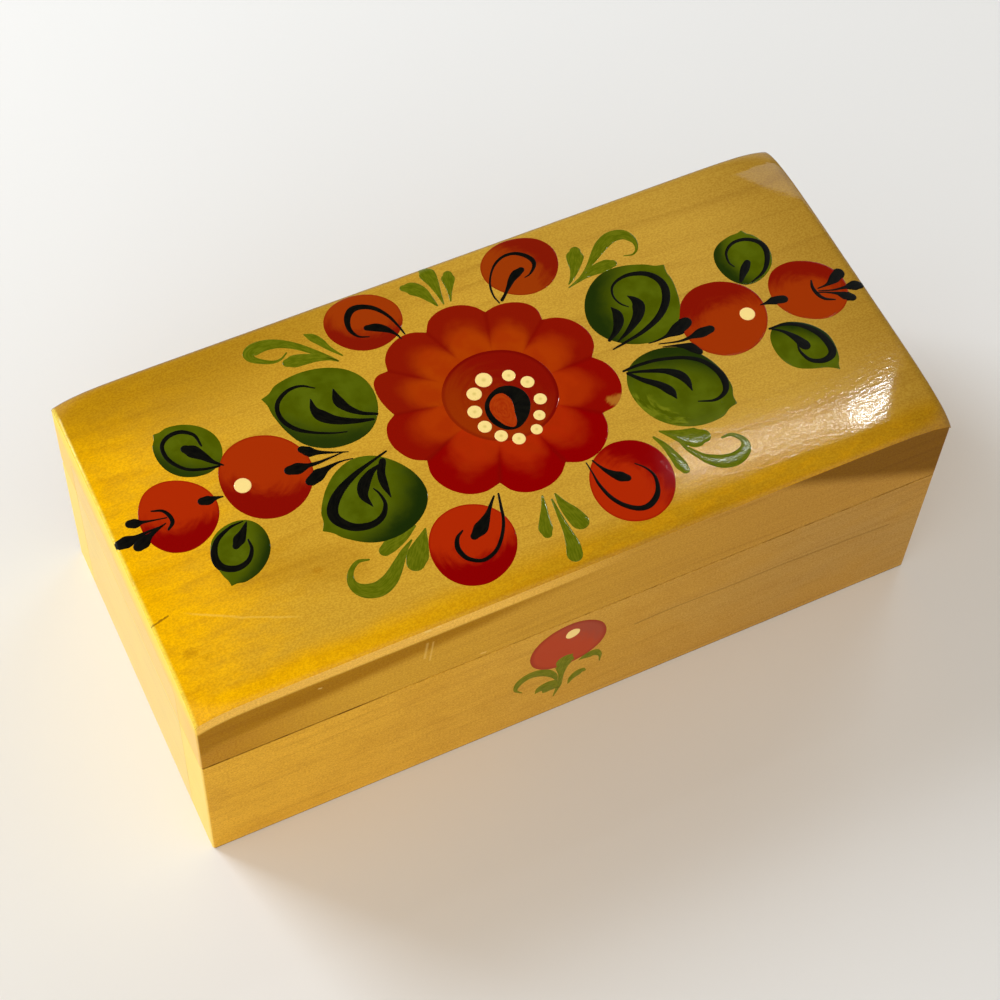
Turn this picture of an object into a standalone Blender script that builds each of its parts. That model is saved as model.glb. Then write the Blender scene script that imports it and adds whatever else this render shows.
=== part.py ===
"""A small painted wooden box with a hinged lid, in metres, +Z up.

The long front of the box faces -Y. The origin is the middle of the underside, which is where the
box stands. The base is five boards glued together. The lid is one piece of wood with a channel
milled along it, closed by a let-in panel at each end. Two let-in brass butt hinges join them at
the back. The hinge pins lie in a V groove along the seam, and the two slopes of the groove are
what stops the lid when it is open.
"""
from math import asin, cos, pi, radians, sin, sqrt, tan

import bmesh
import bpy
from mathutils import Vector

# Outside of the box
BOX_LENGTH = 0.200
BOX_DEPTH = 0.095
BASE_HEIGHT = 0.04625
LID_HEIGHT = 0.02545
SEAM_GAP = 0.0003

# Boards
FRONT_THICKNESS = 0.014
BACK_THICKNESS = 0.011
END_THICKNESS = 0.011
LID_TOP_THICKNESS = 0.0115
BOTTOM_THICKNESS = 0.006
REBATE_DEPTH = 0.004
GLUE_GAP = 0.0002
COVE_RADIUS = 0.003

# Softened edges and corners
CORNER_RADIUS = 0.0008
EDGE_RADIUS = 0.00025
LID_END_RADIUS = 0.0006
LID_ROLL_WIDTH = 0.006
LID_ROLL_DROP = 0.0011
CORNER_DROP = 0.0028
CORNER_SPREAD = 0.016
CORNER_POWER_ALONG = 18
CORNER_POWER_ACROSS = 6

# Hinges
# How far out each hinge's middle lies, as a share of half the length
HINGE_PLACE_SHARE = 0.6
LEAF_LENGTH = 0.025
LEAF_REACH = 0.0075
LEAF_THICKNESS = 0.0009
BARREL_RADIUS = 0.0015
KNUCKLE_COUNT = 5
HINGE_GAP = 0.0003
PIN_RADIUS = 0.0006
PIN_CLEARANCE = 0.00015
PIN_HEAD_RADIUS = 0.0010
PIN_HEAD_HEIGHT = 0.0004
BACK_CHAMFER = 0.0022
LID_OPENING = radians(105)
STOP_PLAY = radians(6)

# Screws
SCREW_SPREAD = 0.007
SCREW_REACH = 0.0046
SCREW_HEAD_RADIUS = 0.0014
SCREW_HEAD_HEIGHT = 0.0007
SCREW_SHANK_RADIUS = 0.0007
SCREW_LENGTH = 0.0070
SCREW_TIP_LENGTH = 0.0012
SCREW_CLEARANCE = 0.00015
SLOT_WIDTH = 0.0004
SLOT_DEPTH = 0.0003

# How far a cutter reaches past what it cuts
OVERRUN = 0.002
# Closest two points of one mesh may lie before they are welded
WELD_DISTANCE = 0.000001

# Counts of facets
CORNER_STEPS = 6
EDGE_STEPS = 3
LID_ROLL_STEPS = 8
COVE_STEPS = 6
BARREL_STEPS = 24
SCREW_STEPS = 16
# Extra points on each straight side of the outline, as shares of half that side from its corner
SIDE_SHARES = (0.04, 0.10, 0.18, 0.28, 0.45)
# Extra rings on the lid's top, as shares of how far the rubbed corners spread in from the roll
CROWN_SHARES = (0.20, 0.45, 0.70, 1.00)
# Smallest corner radius of an inner ring, as a share of the outer one
LEAST_RADIUS_SHARE = 0.25

# Places that follow from the sizes above
FRONT_Y = -BOX_DEPTH / 2
BACK_Y = BOX_DEPTH / 2
INNER_FRONT_Y = FRONT_Y + FRONT_THICKNESS
INNER_BACK_Y = BACK_Y - BACK_THICKNESS
INNER_END_X = BOX_LENGTH / 2 - END_THICKNESS
SEAM_Z = BASE_HEIGHT + SEAM_GAP / 2
LID_BOTTOM_Z = BASE_HEIGHT + SEAM_GAP
LID_TOP_Z = LID_BOTTOM_Z + LID_HEIGHT
CHANNEL_TOP_Z = LID_TOP_Z - LID_TOP_THICKNESS
GROOVE_DEPTH = BACK_CHAMFER + SEAM_GAP / 2
# The lid stops when the outer edges of the groove meet, a little past its limit
AXIS_Y = BACK_Y - GROOVE_DEPTH / tan((LID_OPENING + STOP_PLAY) / 2)
HINGE_X = HINGE_PLACE_SHARE * BOX_LENGTH / 2
HINGE_XS = {"left": -HINGE_X, "right": HINGE_X}


def clear_scene():
    """Remove every object, so that only the box is left."""
    for old in list(bpy.data.objects):
        bpy.data.objects.remove(old, do_unlink=True)


def new_collection(name):
    """Add a collection to the scene."""
    collection = bpy.data.collections.new(name)
    bpy.context.scene.collection.children.link(collection)
    return collection


def new_material(name, colour, roughness, metallic=0.0):
    """A plain surface in one colour."""
    material = bpy.data.materials.new(name)
    material.use_nodes = True
    shader = material.node_tree.nodes["Principled BSDF"]
    shader.inputs["Base Color"].default_value = (*colour, 1.0)
    shader.inputs["Roughness"].default_value = roughness
    shader.inputs["Metallic"].default_value = metallic
    return material


def new_anchor(name, place):
    """An empty that carries the pieces of one body."""
    anchor = bpy.data.objects.new(name, None)
    anchor.location = place
    PARTS.objects.link(anchor)
    return anchor


def new_part(name, mesh, material, anchor, place, turn=(0.0, 0.0, 0.0)):
    """A piece of the box, set at a place in the box's own frame."""
    part = bpy.data.objects.new(name, mesh)
    if not mesh.materials:
        mesh.materials.append(material)
    part.parent = anchor
    part.location = Vector(place) - anchor.location
    part.rotation_euler = turn
    PARTS.objects.link(part)
    return part


def new_cutter(name, mesh, place, turn=(0.0, 0.0, 0.0)):
    """A shape that only cuts or trims the pieces."""
    cutter = bpy.data.objects.new(name, mesh)
    cutter.location = place
    cutter.rotation_euler = turn
    cutter.hide_render = True
    cutter.display_type = "WIRE"
    CUTTERS.objects.link(cutter)
    return cutter


def cut(part, cutter, operation="DIFFERENCE"):
    """Cut a piece by a cutter, or trim it to one."""
    boolean = part.modifiers.new(cutter.name, "BOOLEAN")
    boolean.operation = operation
    boolean.object = cutter
    boolean.solver = "EXACT"


def box_mesh(name, size):
    """A box about the origin."""
    shape = bmesh.new()
    bmesh.ops.create_cube(shape, size=1)
    bmesh.ops.scale(shape, vec=size, verts=shape.verts)
    mesh = bpy.data.meshes.new(name)
    shape.to_mesh(mesh)
    shape.free()
    return mesh


def span_box(name, low, high):
    """A box mesh that reaches from low to high, and the place of its middle."""
    low = Vector(low)
    high = Vector(high)
    return box_mesh(name, high - low), (low + high) / 2


def bar_mesh(name, radius, length):
    """A round bar about the origin, along X."""
    shape = bmesh.new()
    bmesh.ops.create_cone(
        shape, cap_ends=True, segments=BARREL_STEPS, radius1=radius, radius2=radius, depth=length
    )
    mesh = bpy.data.meshes.new(name)
    shape.to_mesh(mesh)
    shape.free()
    return mesh


def evaluated_mesh(name, data, modify=None):
    """The mesh that a curve or a modified mesh turns into, welded and facing outwards."""
    holder = bpy.data.objects.new(name, data)
    bpy.context.scene.collection.objects.link(holder)
    if modify:
        modify(holder)
    shown = holder.evaluated_get(bpy.context.evaluated_depsgraph_get())
    mesh = bpy.data.meshes.new_from_object(shown)
    bpy.data.objects.remove(holder, do_unlink=True)
    mesh.name = name
    shape = bmesh.new()
    shape.from_mesh(mesh)
    bmesh.ops.remove_doubles(shape, verts=shape.verts, dist=WELD_DISTANCE)
    bmesh.ops.recalc_face_normals(shape, faces=shape.faces)
    shape.to_mesh(mesh)
    shape.free()
    return mesh


def flat_mesh(name, outline, thickness):
    """A flat outline, given thickness evenly to both sides of its plane."""
    curve = bpy.data.curves.new(name, "CURVE")
    curve.dimensions = "2D"
    curve.fill_mode = "BOTH"
    curve.extrude = thickness / 2
    spline = curve.splines.new("POLY")
    spline.points.add(len(outline) - 1)
    for point, (across, up) in zip(spline.points, outline):
        point.co = (across, up, 0.0, 1.0)
    spline.use_cyclic_u = True
    mesh = evaluated_mesh(name, curve)
    bpy.data.curves.remove(curve)
    return mesh


def turned_mesh(name, profile, steps):
    """A turned shape about Z, from a profile of radii and heights that runs top to bottom."""
    line = bpy.data.meshes.new(name + "_profile")
    points = [(radius, 0.0, height) for radius, height in profile]
    edges = [(index, index + 1) for index in range(len(points) - 1)]
    line.from_pydata(points, edges, [])

    def add_screw(holder):
        screw = holder.modifiers.new("turn", "SCREW")
        screw.axis = "Z"
        screw.steps = steps
        screw.render_steps = steps
        screw.use_merge_vertices = True
        screw.merge_threshold = WELD_DISTANCE

    mesh = evaluated_mesh(name, line, add_screw)
    bpy.data.meshes.remove(line)
    smooth(mesh)
    return mesh


def smooth(mesh):
    """Shade a mesh smooth, but keep its real edges."""
    mesh.shade_smooth()
    mesh.set_sharp_from_angle(angle=pi / 5)


def arc(centre, radius, start, stop, steps):
    """Points on an arc of a circle, both ends included."""
    points = []
    for step in range(steps + 1):
        angle = start + (stop - start) * step / steps
        points.append((centre[0] + radius * cos(angle), centre[1] + radius * sin(angle)))
    return points


def plan_ring(end_inset, side_inset):
    """The box's outline in plan, moved in from its ends and its long sides.

    It has extra points on its straight sides.
    """
    radius = max(CORNER_RADIUS - end_inset, CORNER_RADIUS * LEAST_RADIUS_SHARE)
    reach_x = BOX_LENGTH / 2 - end_inset - radius
    reach_y = BOX_DEPTH / 2 - side_inset - radius
    corners = []
    for quarter, (side_x, side_y) in enumerate(((1, 1), (-1, 1), (-1, -1), (1, -1))):
        centre = (side_x * reach_x, side_y * reach_y)
        start = quarter * pi / 2
        corners.append(arc(centre, radius, start, start + pi / 2, CORNER_STEPS))
    shares = [share / 2 for share in SIDE_SHARES]
    shares += [1 - share for share in reversed(shares)]
    ring = []
    for quarter, corner in enumerate(corners):
        ring += corner
        start = Vector(corner[-1])
        stop = Vector(corners[(quarter + 1) % len(corners)][0])
        ring += [tuple(start.lerp(stop, share)) for share in shares]
    return ring


def rolled_drop(inset, width, drop):
    """Drop of a quarter ellipse at an inset from its upright side, and none past its width."""
    share = min(max(1 - inset / width, 0.0), 1.0)
    return drop * (1 - sqrt(1 - share * share))


def lid_drop(x, y):
    """How far a point of the lid's top lies below its middle.

    The top rolls over to both long sides and has small round edges at its ends. Its four corners
    are rubbed down.
    """
    roll = rolled_drop(BOX_DEPTH / 2 - abs(y), LID_ROLL_WIDTH, LID_ROLL_DROP)
    end = rolled_drop(BOX_LENGTH / 2 - abs(x), LID_END_RADIUS, LID_END_RADIUS)
    along = abs(x) / (BOX_LENGTH / 2)
    across = abs(y) / (BOX_DEPTH / 2)
    corner = CORNER_DROP * along**CORNER_POWER_ALONG * across**CORNER_POWER_ACROSS
    return roll + end + corner


def softened_edge(width, drop, steps):
    """Inset and drop of each step over a softened edge, from the upright side to the flat."""
    quarter = arc((0.0, 0.0), 1.0, 0.0, pi / 2, steps)
    return [(width * (1 - across), drop * (1 - up)) for across, up in quarter]


def block_mesh(name, bottom, top, crowned):
    """A block of the box's outline, lofted through rings from its underside to its top.

    A plain block has small round edges. A crowned one is the lid's, with its rolled top.
    """
    small_edge = softened_edge(EDGE_RADIUS, EDGE_RADIUS, EDGE_STEPS)
    rings = [[(x, y, bottom + drop) for x, y in plan_ring(inset, inset)]
             for inset, drop in reversed(small_edge)]
    if crowned:
        shares = [inset for inset, drop in softened_edge(1.0, 1.0, LID_ROLL_STEPS)]
        insets = [(LID_END_RADIUS * share, LID_ROLL_WIDTH * share) for share in shares]
        insets += [(LID_END_RADIUS + share * CORNER_SPREAD, LID_ROLL_WIDTH + share * CORNER_SPREAD)
                   for share in CROWN_SHARES]
        for inset in insets:
            rings.append([(x, y, top - lid_drop(x, y)) for x, y in plan_ring(*inset)])
    else:
        for inset, drop in small_edge:
            rings.append([(x, y, top - drop) for x, y in plan_ring(inset, inset)])
    shape = bmesh.new()
    loops = [[shape.verts.new(point) for point in ring] for ring in rings]
    shape.faces.new(reversed(loops[0]))
    for lower, higher in zip(loops, loops[1:]):
        for index in range(len(lower)):
            after = (index + 1) % len(lower)
            shape.faces.new((lower[index], lower[after], higher[after], higher[index]))
    shape.faces.new(loops[-1])
    mesh = bpy.data.meshes.new(name)
    shape.to_mesh(mesh)
    shape.free()
    smooth(mesh)
    return mesh


def channel_outline(margin, floor):
    """The channel's section as depth and height, drawn in by a margin, down to a floor."""
    front = INNER_FRONT_Y + margin
    back = INNER_BACK_Y - margin
    roof = CHANNEL_TOP_Z - margin
    radius = COVE_RADIUS - margin
    outline = [(front, floor), (back, floor)]
    outline += arc((back - radius, roof - radius), radius, 0.0, pi / 2, COVE_STEPS)
    outline += arc((front + radius, roof - radius), radius, pi / 2, pi, COVE_STEPS)
    return outline


# Turns a shape drawn in its own XY plane so that X becomes depth, Y height and Z length
SECTION_TURN = (pi / 2, 0.0, pi / 2)


def make_shared_cutters():
    """The shapes that trim or cut several pieces."""
    reach_x = BOX_LENGTH / 2 + OVERRUN
    cutters = {}
    mesh = block_mesh("base_form", 0.0, BASE_HEIGHT, False)
    cutters["base_form"] = new_cutter("base_form", mesh, (0.0, 0.0, 0.0))
    mesh = block_mesh("lid_form", LID_BOTTOM_Z, LID_TOP_Z, True)
    cutters["lid_form"] = new_cutter("lid_form", mesh, (0.0, 0.0, 0.0))
    mesh, place = span_box(
        "bottom_rebate",
        (-INNER_END_X - REBATE_DEPTH, INNER_FRONT_Y - REBATE_DEPTH, -OVERRUN),
        (INNER_END_X + REBATE_DEPTH, INNER_BACK_Y + REBATE_DEPTH, BOTTOM_THICKNESS + GLUE_GAP),
    )
    cutters["bottom_rebate"] = new_cutter("bottom_rebate", mesh, place)
    mesh = flat_mesh("lid_channel", channel_outline(0.0, SEAM_Z - OVERRUN), 2 * reach_x)
    cutters["lid_channel"] = new_cutter("lid_channel", mesh, (0.0, 0.0, 0.0), SECTION_TURN)
    groove = [
        (BACK_Y - GROOVE_DEPTH, SEAM_Z),
        (BACK_Y + OVERRUN, SEAM_Z - GROOVE_DEPTH - OVERRUN),
        (BACK_Y + OVERRUN, SEAM_Z + GROOVE_DEPTH + OVERRUN),
    ]
    mesh = flat_mesh("back_groove", groove, 2 * reach_x)
    cutters["back_groove"] = new_cutter("back_groove", mesh, (0.0, 0.0, 0.0), SECTION_TURN)
    return cutters


def make_base(cutters, wood, base):
    """The four walls and the bottom board of the base."""
    reach_x = BOX_LENGTH / 2 + OVERRUN
    reach_y = BOX_DEPTH / 2 + OVERRUN
    roof = BASE_HEIGHT + OVERRUN
    spans = {
        "base_front": ((-reach_x, -reach_y, -OVERRUN), (reach_x, INNER_FRONT_Y, roof)),
        "base_back": ((-reach_x, INNER_BACK_Y, -OVERRUN), (reach_x, reach_y, roof)),
        "base_left_end": (
            (-reach_x, INNER_FRONT_Y + GLUE_GAP, -OVERRUN),
            (-INNER_END_X, INNER_BACK_Y - GLUE_GAP, roof),
        ),
        "base_right_end": (
            (INNER_END_X, INNER_FRONT_Y + GLUE_GAP, -OVERRUN),
            (reach_x, INNER_BACK_Y - GLUE_GAP, roof),
        ),
    }
    walls = {}
    for name, (low, high) in spans.items():
        mesh, place = span_box(name, low, high)
        walls[name] = new_part(name, mesh, wood[name], base, place)
        cut(walls[name], cutters["base_form"], "INTERSECT")
        cut(walls[name], cutters["bottom_rebate"])
    cut(walls["base_back"], cutters["back_groove"])
    mesh, place = span_box(
        "base_bottom",
        (
            -INNER_END_X - REBATE_DEPTH + GLUE_GAP,
            INNER_FRONT_Y - REBATE_DEPTH + GLUE_GAP,
            0.0,
        ),
        (
            INNER_END_X + REBATE_DEPTH - GLUE_GAP,
            INNER_BACK_Y + REBATE_DEPTH - GLUE_GAP,
            BOTTOM_THICKNESS,
        ),
    )
    new_part("base_bottom", mesh, wood["base_bottom"], base, place)
    return walls["base_back"]


def make_lid(cutters, wood, lid):
    """The lid's milled piece and the panels let into its ends."""
    mesh = block_mesh("lid_shell", LID_BOTTOM_Z, LID_TOP_Z, True)
    shell = new_part("lid_shell", mesh, wood["lid_shell"], lid, (0.0, 0.0, 0.0))
    cut(shell, cutters["lid_channel"])
    cut(shell, cutters["back_groove"])
    outline = channel_outline(GLUE_GAP, SEAM_Z)
    for side, name in ((-1, "lid_left_end"), (1, "lid_right_end")):
        mesh = flat_mesh(name, outline, END_THICKNESS + OVERRUN)
        middle = side * (INNER_END_X + (END_THICKNESS + OVERRUN) / 2)
        panel = new_part(name, mesh, wood[name], lid, (middle, 0.0, 0.0), SECTION_TURN)
        cut(panel, cutters["lid_form"], "INTERSECT")
    return shell


def leaf_outline():
    """A hinge leaf's section round its axis: a plate that rolls up into a full barrel."""
    face = SEAM_GAP / 2
    underside = face + LEAF_THICKNESS
    start = asin(underside / BARREL_RADIUS) - pi
    stop = asin(face / BARREL_RADIUS) + pi
    outline = [(-LEAF_REACH, -face), (-LEAF_REACH, -underside)]
    outline += arc((0.0, 0.0), BARREL_RADIUS, start, stop, BARREL_STEPS)
    return outline


def screw_profile(clearance, headroom):
    """Radii and heights of a countersunk screw, grown by a clearance, its face at height zero."""
    head = SCREW_HEAD_RADIUS + clearance
    shank = SCREW_SHANK_RADIUS + clearance
    profile = [(0.0, headroom), (head, headroom)]
    if headroom:
        profile.append((head, 0.0))
    profile += [
        (shank, -SCREW_HEAD_HEIGHT),
        (shank, SCREW_TIP_LENGTH - SCREW_LENGTH),
        (0.0, -SCREW_LENGTH - clearance),
    ]
    return profile


def slotted_screw_mesh():
    """The screw's turned body with a slot across its head."""
    body = turned_mesh("screw_blank", screw_profile(0.0, 0.0), SCREW_STEPS)
    width = 2 * (SCREW_HEAD_RADIUS + OVERRUN)
    slot_mesh = box_mesh("screw_slot", (width, SLOT_WIDTH, 2 * SLOT_DEPTH))
    slot = new_cutter("screw_slot", slot_mesh, (0.0, 0.0, 0.0))

    def add_slot(holder):
        cut(holder, slot)

    mesh = evaluated_mesh("slotted_screw", body, add_slot)
    bpy.data.objects.remove(slot, do_unlink=True)
    smooth(mesh)
    return mesh


def pin_mesh():
    """The hinge pin along Z: a rod with a low domed head at each end."""
    half = LEAF_LENGTH / 2 + PIN_CLEARANCE
    top = half + PIN_HEAD_HEIGHT
    dome = arc((0.0, 0.0), 1.0, pi / 2, 0.0, COVE_STEPS)
    upper = [(PIN_HEAD_RADIUS * across, half + PIN_HEAD_HEIGHT * up) for across, up in dome]
    upper[0] = (0.0, top)
    upper.append((PIN_RADIUS, half))
    profile = upper + [(radius, -height) for radius, height in reversed(upper)]
    return turned_mesh("hinge_pin", profile, SCREW_STEPS)


def make_hinge(side, centre_x, metal, back, shell, base, lid, screw, pin):
    """One hinge: both leaves, the pin, four screws, and the seats for them in the wood."""
    axis = Vector((centre_x, AXIS_Y, SEAM_Z))
    leaf_end = LEAF_LENGTH / 2
    knuckle = LEAF_LENGTH / KNUCKLE_COUNT
    outline = leaf_outline()
    notch_length = LEAF_LENGTH + 2 * (PIN_CLEARANCE + PIN_HEAD_HEIGHT + HINGE_GAP)
    notch_mesh = bar_mesh("barrel_notch_" + side, BARREL_RADIUS + HINGE_GAP, notch_length)
    notch = new_cutter("barrel_notch_" + side, notch_mesh, axis, (0.0, pi / 2, 0.0))
    bore_mesh = bar_mesh("pin_bore_" + side, PIN_RADIUS + PIN_CLEARANCE, LEAF_LENGTH + 2 * OVERRUN)
    bore = new_cutter("pin_bore_" + side, bore_mesh, axis, (0.0, pi / 2, 0.0))
    hole_mesh = turned_mesh("screw_hole_" + side, screw_profile(SCREW_CLEARANCE, OVERRUN), SCREW_STEPS)

    for body, wood, anchor, up in (("base", back, base, 1), ("lid", shell, lid, -1)):
        prefix = "hinge_" + side + "_" + body
        # The lid's leaf is the base's leaf turned over, so its plate faces down
        drawn = [(across, up * height) for across, height in outline]
        mesh = flat_mesh(prefix + "_leaf", drawn, LEAF_LENGTH)
        leaf = new_part(prefix + "_leaf", mesh, metal, anchor, axis, SECTION_TURN)
        cut(leaf, bore)
        first = 1 if up > 0 else 0
        for index in range(first, KNUCKLE_COUNT, 2):
            low = -leaf_end + index * knuckle - HINGE_GAP / 2
            high = low + knuckle + HINGE_GAP
            if index == 0:
                low -= OVERRUN
            if index == KNUCKLE_COUNT - 1:
                high += OVERRUN
            name = prefix + "_knuckle_gap_" + str(index)
            gap_mesh = bar_mesh(name, BARREL_RADIUS + HINGE_GAP, high - low)
            middle = axis + Vector(((low + high) / 2, 0.0, 0.0))
            cut(leaf, new_cutter(name, gap_mesh, middle, (0.0, pi / 2, 0.0)))

        face_z = SEAM_Z - up * SEAM_GAP / 2
        floor_z = face_z - up * (LEAF_THICKNESS + HINGE_GAP)
        mouth_z = face_z + up * OVERRUN
        mesh, place = span_box(
            prefix + "_seat",
            (centre_x - leaf_end - HINGE_GAP, AXIS_Y - LEAF_REACH - HINGE_GAP, min(floor_z, mouth_z)),
            (centre_x + leaf_end + HINGE_GAP, BACK_Y + OVERRUN, max(floor_z, mouth_z)),
        )
        cut(wood, new_cutter(prefix + "_seat", mesh, place))
        cut(wood, notch)
        turn = (0.0, 0.0, 0.0) if up > 0 else (pi, 0.0, 0.0)
        for number, along in enumerate((-SCREW_SPREAD, SCREW_SPREAD), 1):
            place = (centre_x + along, AXIS_Y - SCREW_REACH, face_z)
            hole = new_cutter(prefix + "_hole_" + str(number), hole_mesh, place, turn)
            cut(leaf, hole)
            cut(wood, hole)
            new_part(prefix + "_screw_" + str(number), screw, metal, anchor, place, turn)

    new_part("hinge_" + side + "_pin", pin, metal, base, axis, (0.0, pi / 2, 0.0))


clear_scene()
PARTS = new_collection("painted_box")
CUTTERS = new_collection("cutters")

WOOD = {
    "base_front": new_material("front_board", (0.60, 0.36, 0.10), 0.35),
    "base_back": new_material("back_board", (0.58, 0.35, 0.11), 0.38),
    "base_left_end": new_material("left_end_board", (0.90, 0.66, 0.32), 0.35),
    "base_right_end": new_material("right_end_board", (0.80, 0.56, 0.25), 0.35),
    "base_bottom": new_material("bottom_board", (0.66, 0.46, 0.22), 0.50),
    "lid_shell": new_material("lid_wood", (0.66, 0.39, 0.05), 0.25),
    "lid_left_end": new_material("lid_left_panel", (0.91, 0.68, 0.34), 0.35),
    "lid_right_end": new_material("lid_right_panel", (0.80, 0.57, 0.26), 0.35),
}
BRASS = new_material("hinge_brass", (0.74, 0.53, 0.24), 0.35, 1.0)

BASE = new_anchor("base", (0.0, 0.0, 0.0))
LID = new_anchor("lid_on_hinge_axis", (0.0, AXIS_Y, SEAM_Z))

SHARED = make_shared_cutters()
BACK_BOARD = make_base(SHARED, WOOD, BASE)
SHELL = make_lid(SHARED, WOOD, LID)
SCREW = slotted_screw_mesh()
PIN = pin_mesh()
for hinge_side, hinge_x in HINGE_XS.items():
    make_hinge(hinge_side, hinge_x, BRASS, BACK_BOARD, SHELL, BASE, LID, SCREW, PIN)
bpy.context.view_layer.update()
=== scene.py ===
"""Looks of a painted wooden box: varnished boards, brass hinges and a painted spray of flowers."""

import math

import bpy
import numpy as np
from mathutils import Matrix, Vector


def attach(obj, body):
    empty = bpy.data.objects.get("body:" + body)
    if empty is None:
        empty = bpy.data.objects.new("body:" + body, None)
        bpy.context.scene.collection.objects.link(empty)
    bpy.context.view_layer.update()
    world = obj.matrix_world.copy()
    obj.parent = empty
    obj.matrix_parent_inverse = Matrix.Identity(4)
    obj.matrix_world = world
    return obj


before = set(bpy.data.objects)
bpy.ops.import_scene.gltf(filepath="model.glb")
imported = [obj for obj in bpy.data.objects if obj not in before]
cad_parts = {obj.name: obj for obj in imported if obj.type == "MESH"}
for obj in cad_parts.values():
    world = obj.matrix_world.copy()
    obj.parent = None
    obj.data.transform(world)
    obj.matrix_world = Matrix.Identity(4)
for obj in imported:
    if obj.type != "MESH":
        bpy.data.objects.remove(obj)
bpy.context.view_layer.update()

# Sizes, in millimetres
MM = 0.001
HALF_LENGTH = 100.0
HALF_DEPTH = 47.5
TOP = 72.0
SEAM = 46.4
ROLL_WIDTH = 6.0
ROLL_DROP = 1.1
END_RADIUS = 0.6
CORNER_DROP = 2.8
CORNER_POWERS = (18, 6)

# Where the camera stands, which way is right and down in its view, and its lens
CAMERA_PLACE = (-159.76, -290.30, 571.88)
CAMERA_RIGHT = (0.90569, -0.42323, 0.02464)
CAMERA_DOWN = (-0.34758, -0.77456, -0.52844)
CAMERA_LENS = 88.32
CAMERA_SENSOR = 36.0
CAMERA_SHIFT = (0.03587, -0.02389)
CAMERA_REACH = (10.0, 20000.0)

# The gloss coat: its thickness, how deep its hidden side lies, and where its rows of points stand
COAT = 0.02
COAT_DEPTH = 0.4
COAT_STEP = (1.6, 1.4)
COAT_END_INSETS = (0.03, 0.06, 0.1, 0.16, 0.24, 0.34, 0.46, 0.6, 1.0, 1.6, 2.4, 3.4)
COAT_SIDE_INSETS = (0.03, 0.07, 0.14, 0.24, 0.4, 0.6, 0.9, 1.3, 1.8, 2.4, 3.1, 3.9, 4.8, 5.7, 6.0)
# Relief of the varnish on the coat and on the paint
RELIEF = 0.0125
PAINT_RELIEF = 1.2 * RELIEF

# The edge of a film of paint starts under the wood and rises over a narrow strip to a low bead
PAINT_SINK = 0.03
PAINT_EDGE = 0.4
PAINT_BEAD = 0.05
BEAD_PLACE = 1.4 * PAINT_EDGE
BEAD_SPREAD = 0.8 * PAINT_EDGE
# A stroke's sides lie just under the wood; every film is closed by a point deeper down
PAINT_FLUSH = 0.01
PAINT_DEPTH = 0.15
# Paint keeps off the very edge of the lid, and a stroke spreads a little wider than its listed width
PAINT_MARGIN = 0.12
BRUSH_SPREAD = 1.07
BRUSH_LEAST = 0.1
# How far apart the brush marks of two petals are read, and how often a place is moved down to the wood
PETAL_MARKS_APART = 7.0
SETTLING_ROUNDS = 4

# Thickness of each layer of paint, from the first to the last
FILMS = {
    "petals": 0.03, "heart": 0.045, "berries": 0.035, "leaves": 0.035, "sprigs": 0.04,
    "black_lines": 0.06, "eye": 0.065, "tear": 0.08, "cream_dots": 0.1,
    "front_berry": 0.03, "front_leaves": 0.045, "front_dot": 0.06,
}

# Rings of a filled round as shares of its radius, and nearer its rim as shares of the way in to its bead
RING_SHARES = (0.1, 0.25, 0.4, 0.55, 0.7, 0.8, 0.88)
RIM_SHARES = (1.6, 1.0, 0.75, 0.5, 0.3, 0.15, 0.05, 0.0)
# Places across a stroke as shares of half its width, with the hidden underside last
STROKE_ACROSS = (-1, -0.94, -0.8, -0.4, 0.4, 0.8, 0.94, 1, 0)
# Angles of the rows that round off a stroke's ends
STROKE_END_TURNS = (78, 62, 45, 25)
DAB_POINTS = 28
# A leaf's tip is drawn out from the leaf's middle, and the outline beside it is pulled towards it
LEAF_TIP = 1.03
LEAF_TIP_SIDES = 0.99
LEAF_TIP_PULL = 0.6

# What the lamps look at, and the glint's strips, which hang level over the back right
LAMP_TARGET = (0, 0, 40)
GLINT_HEIGHT = 884
GLINT_TURN = -6
FLOOR_REACH = 4000
# Direction of the dim part of the ceiling
CEILING_DIM = (0.25, 0.46, 0.85)

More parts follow.
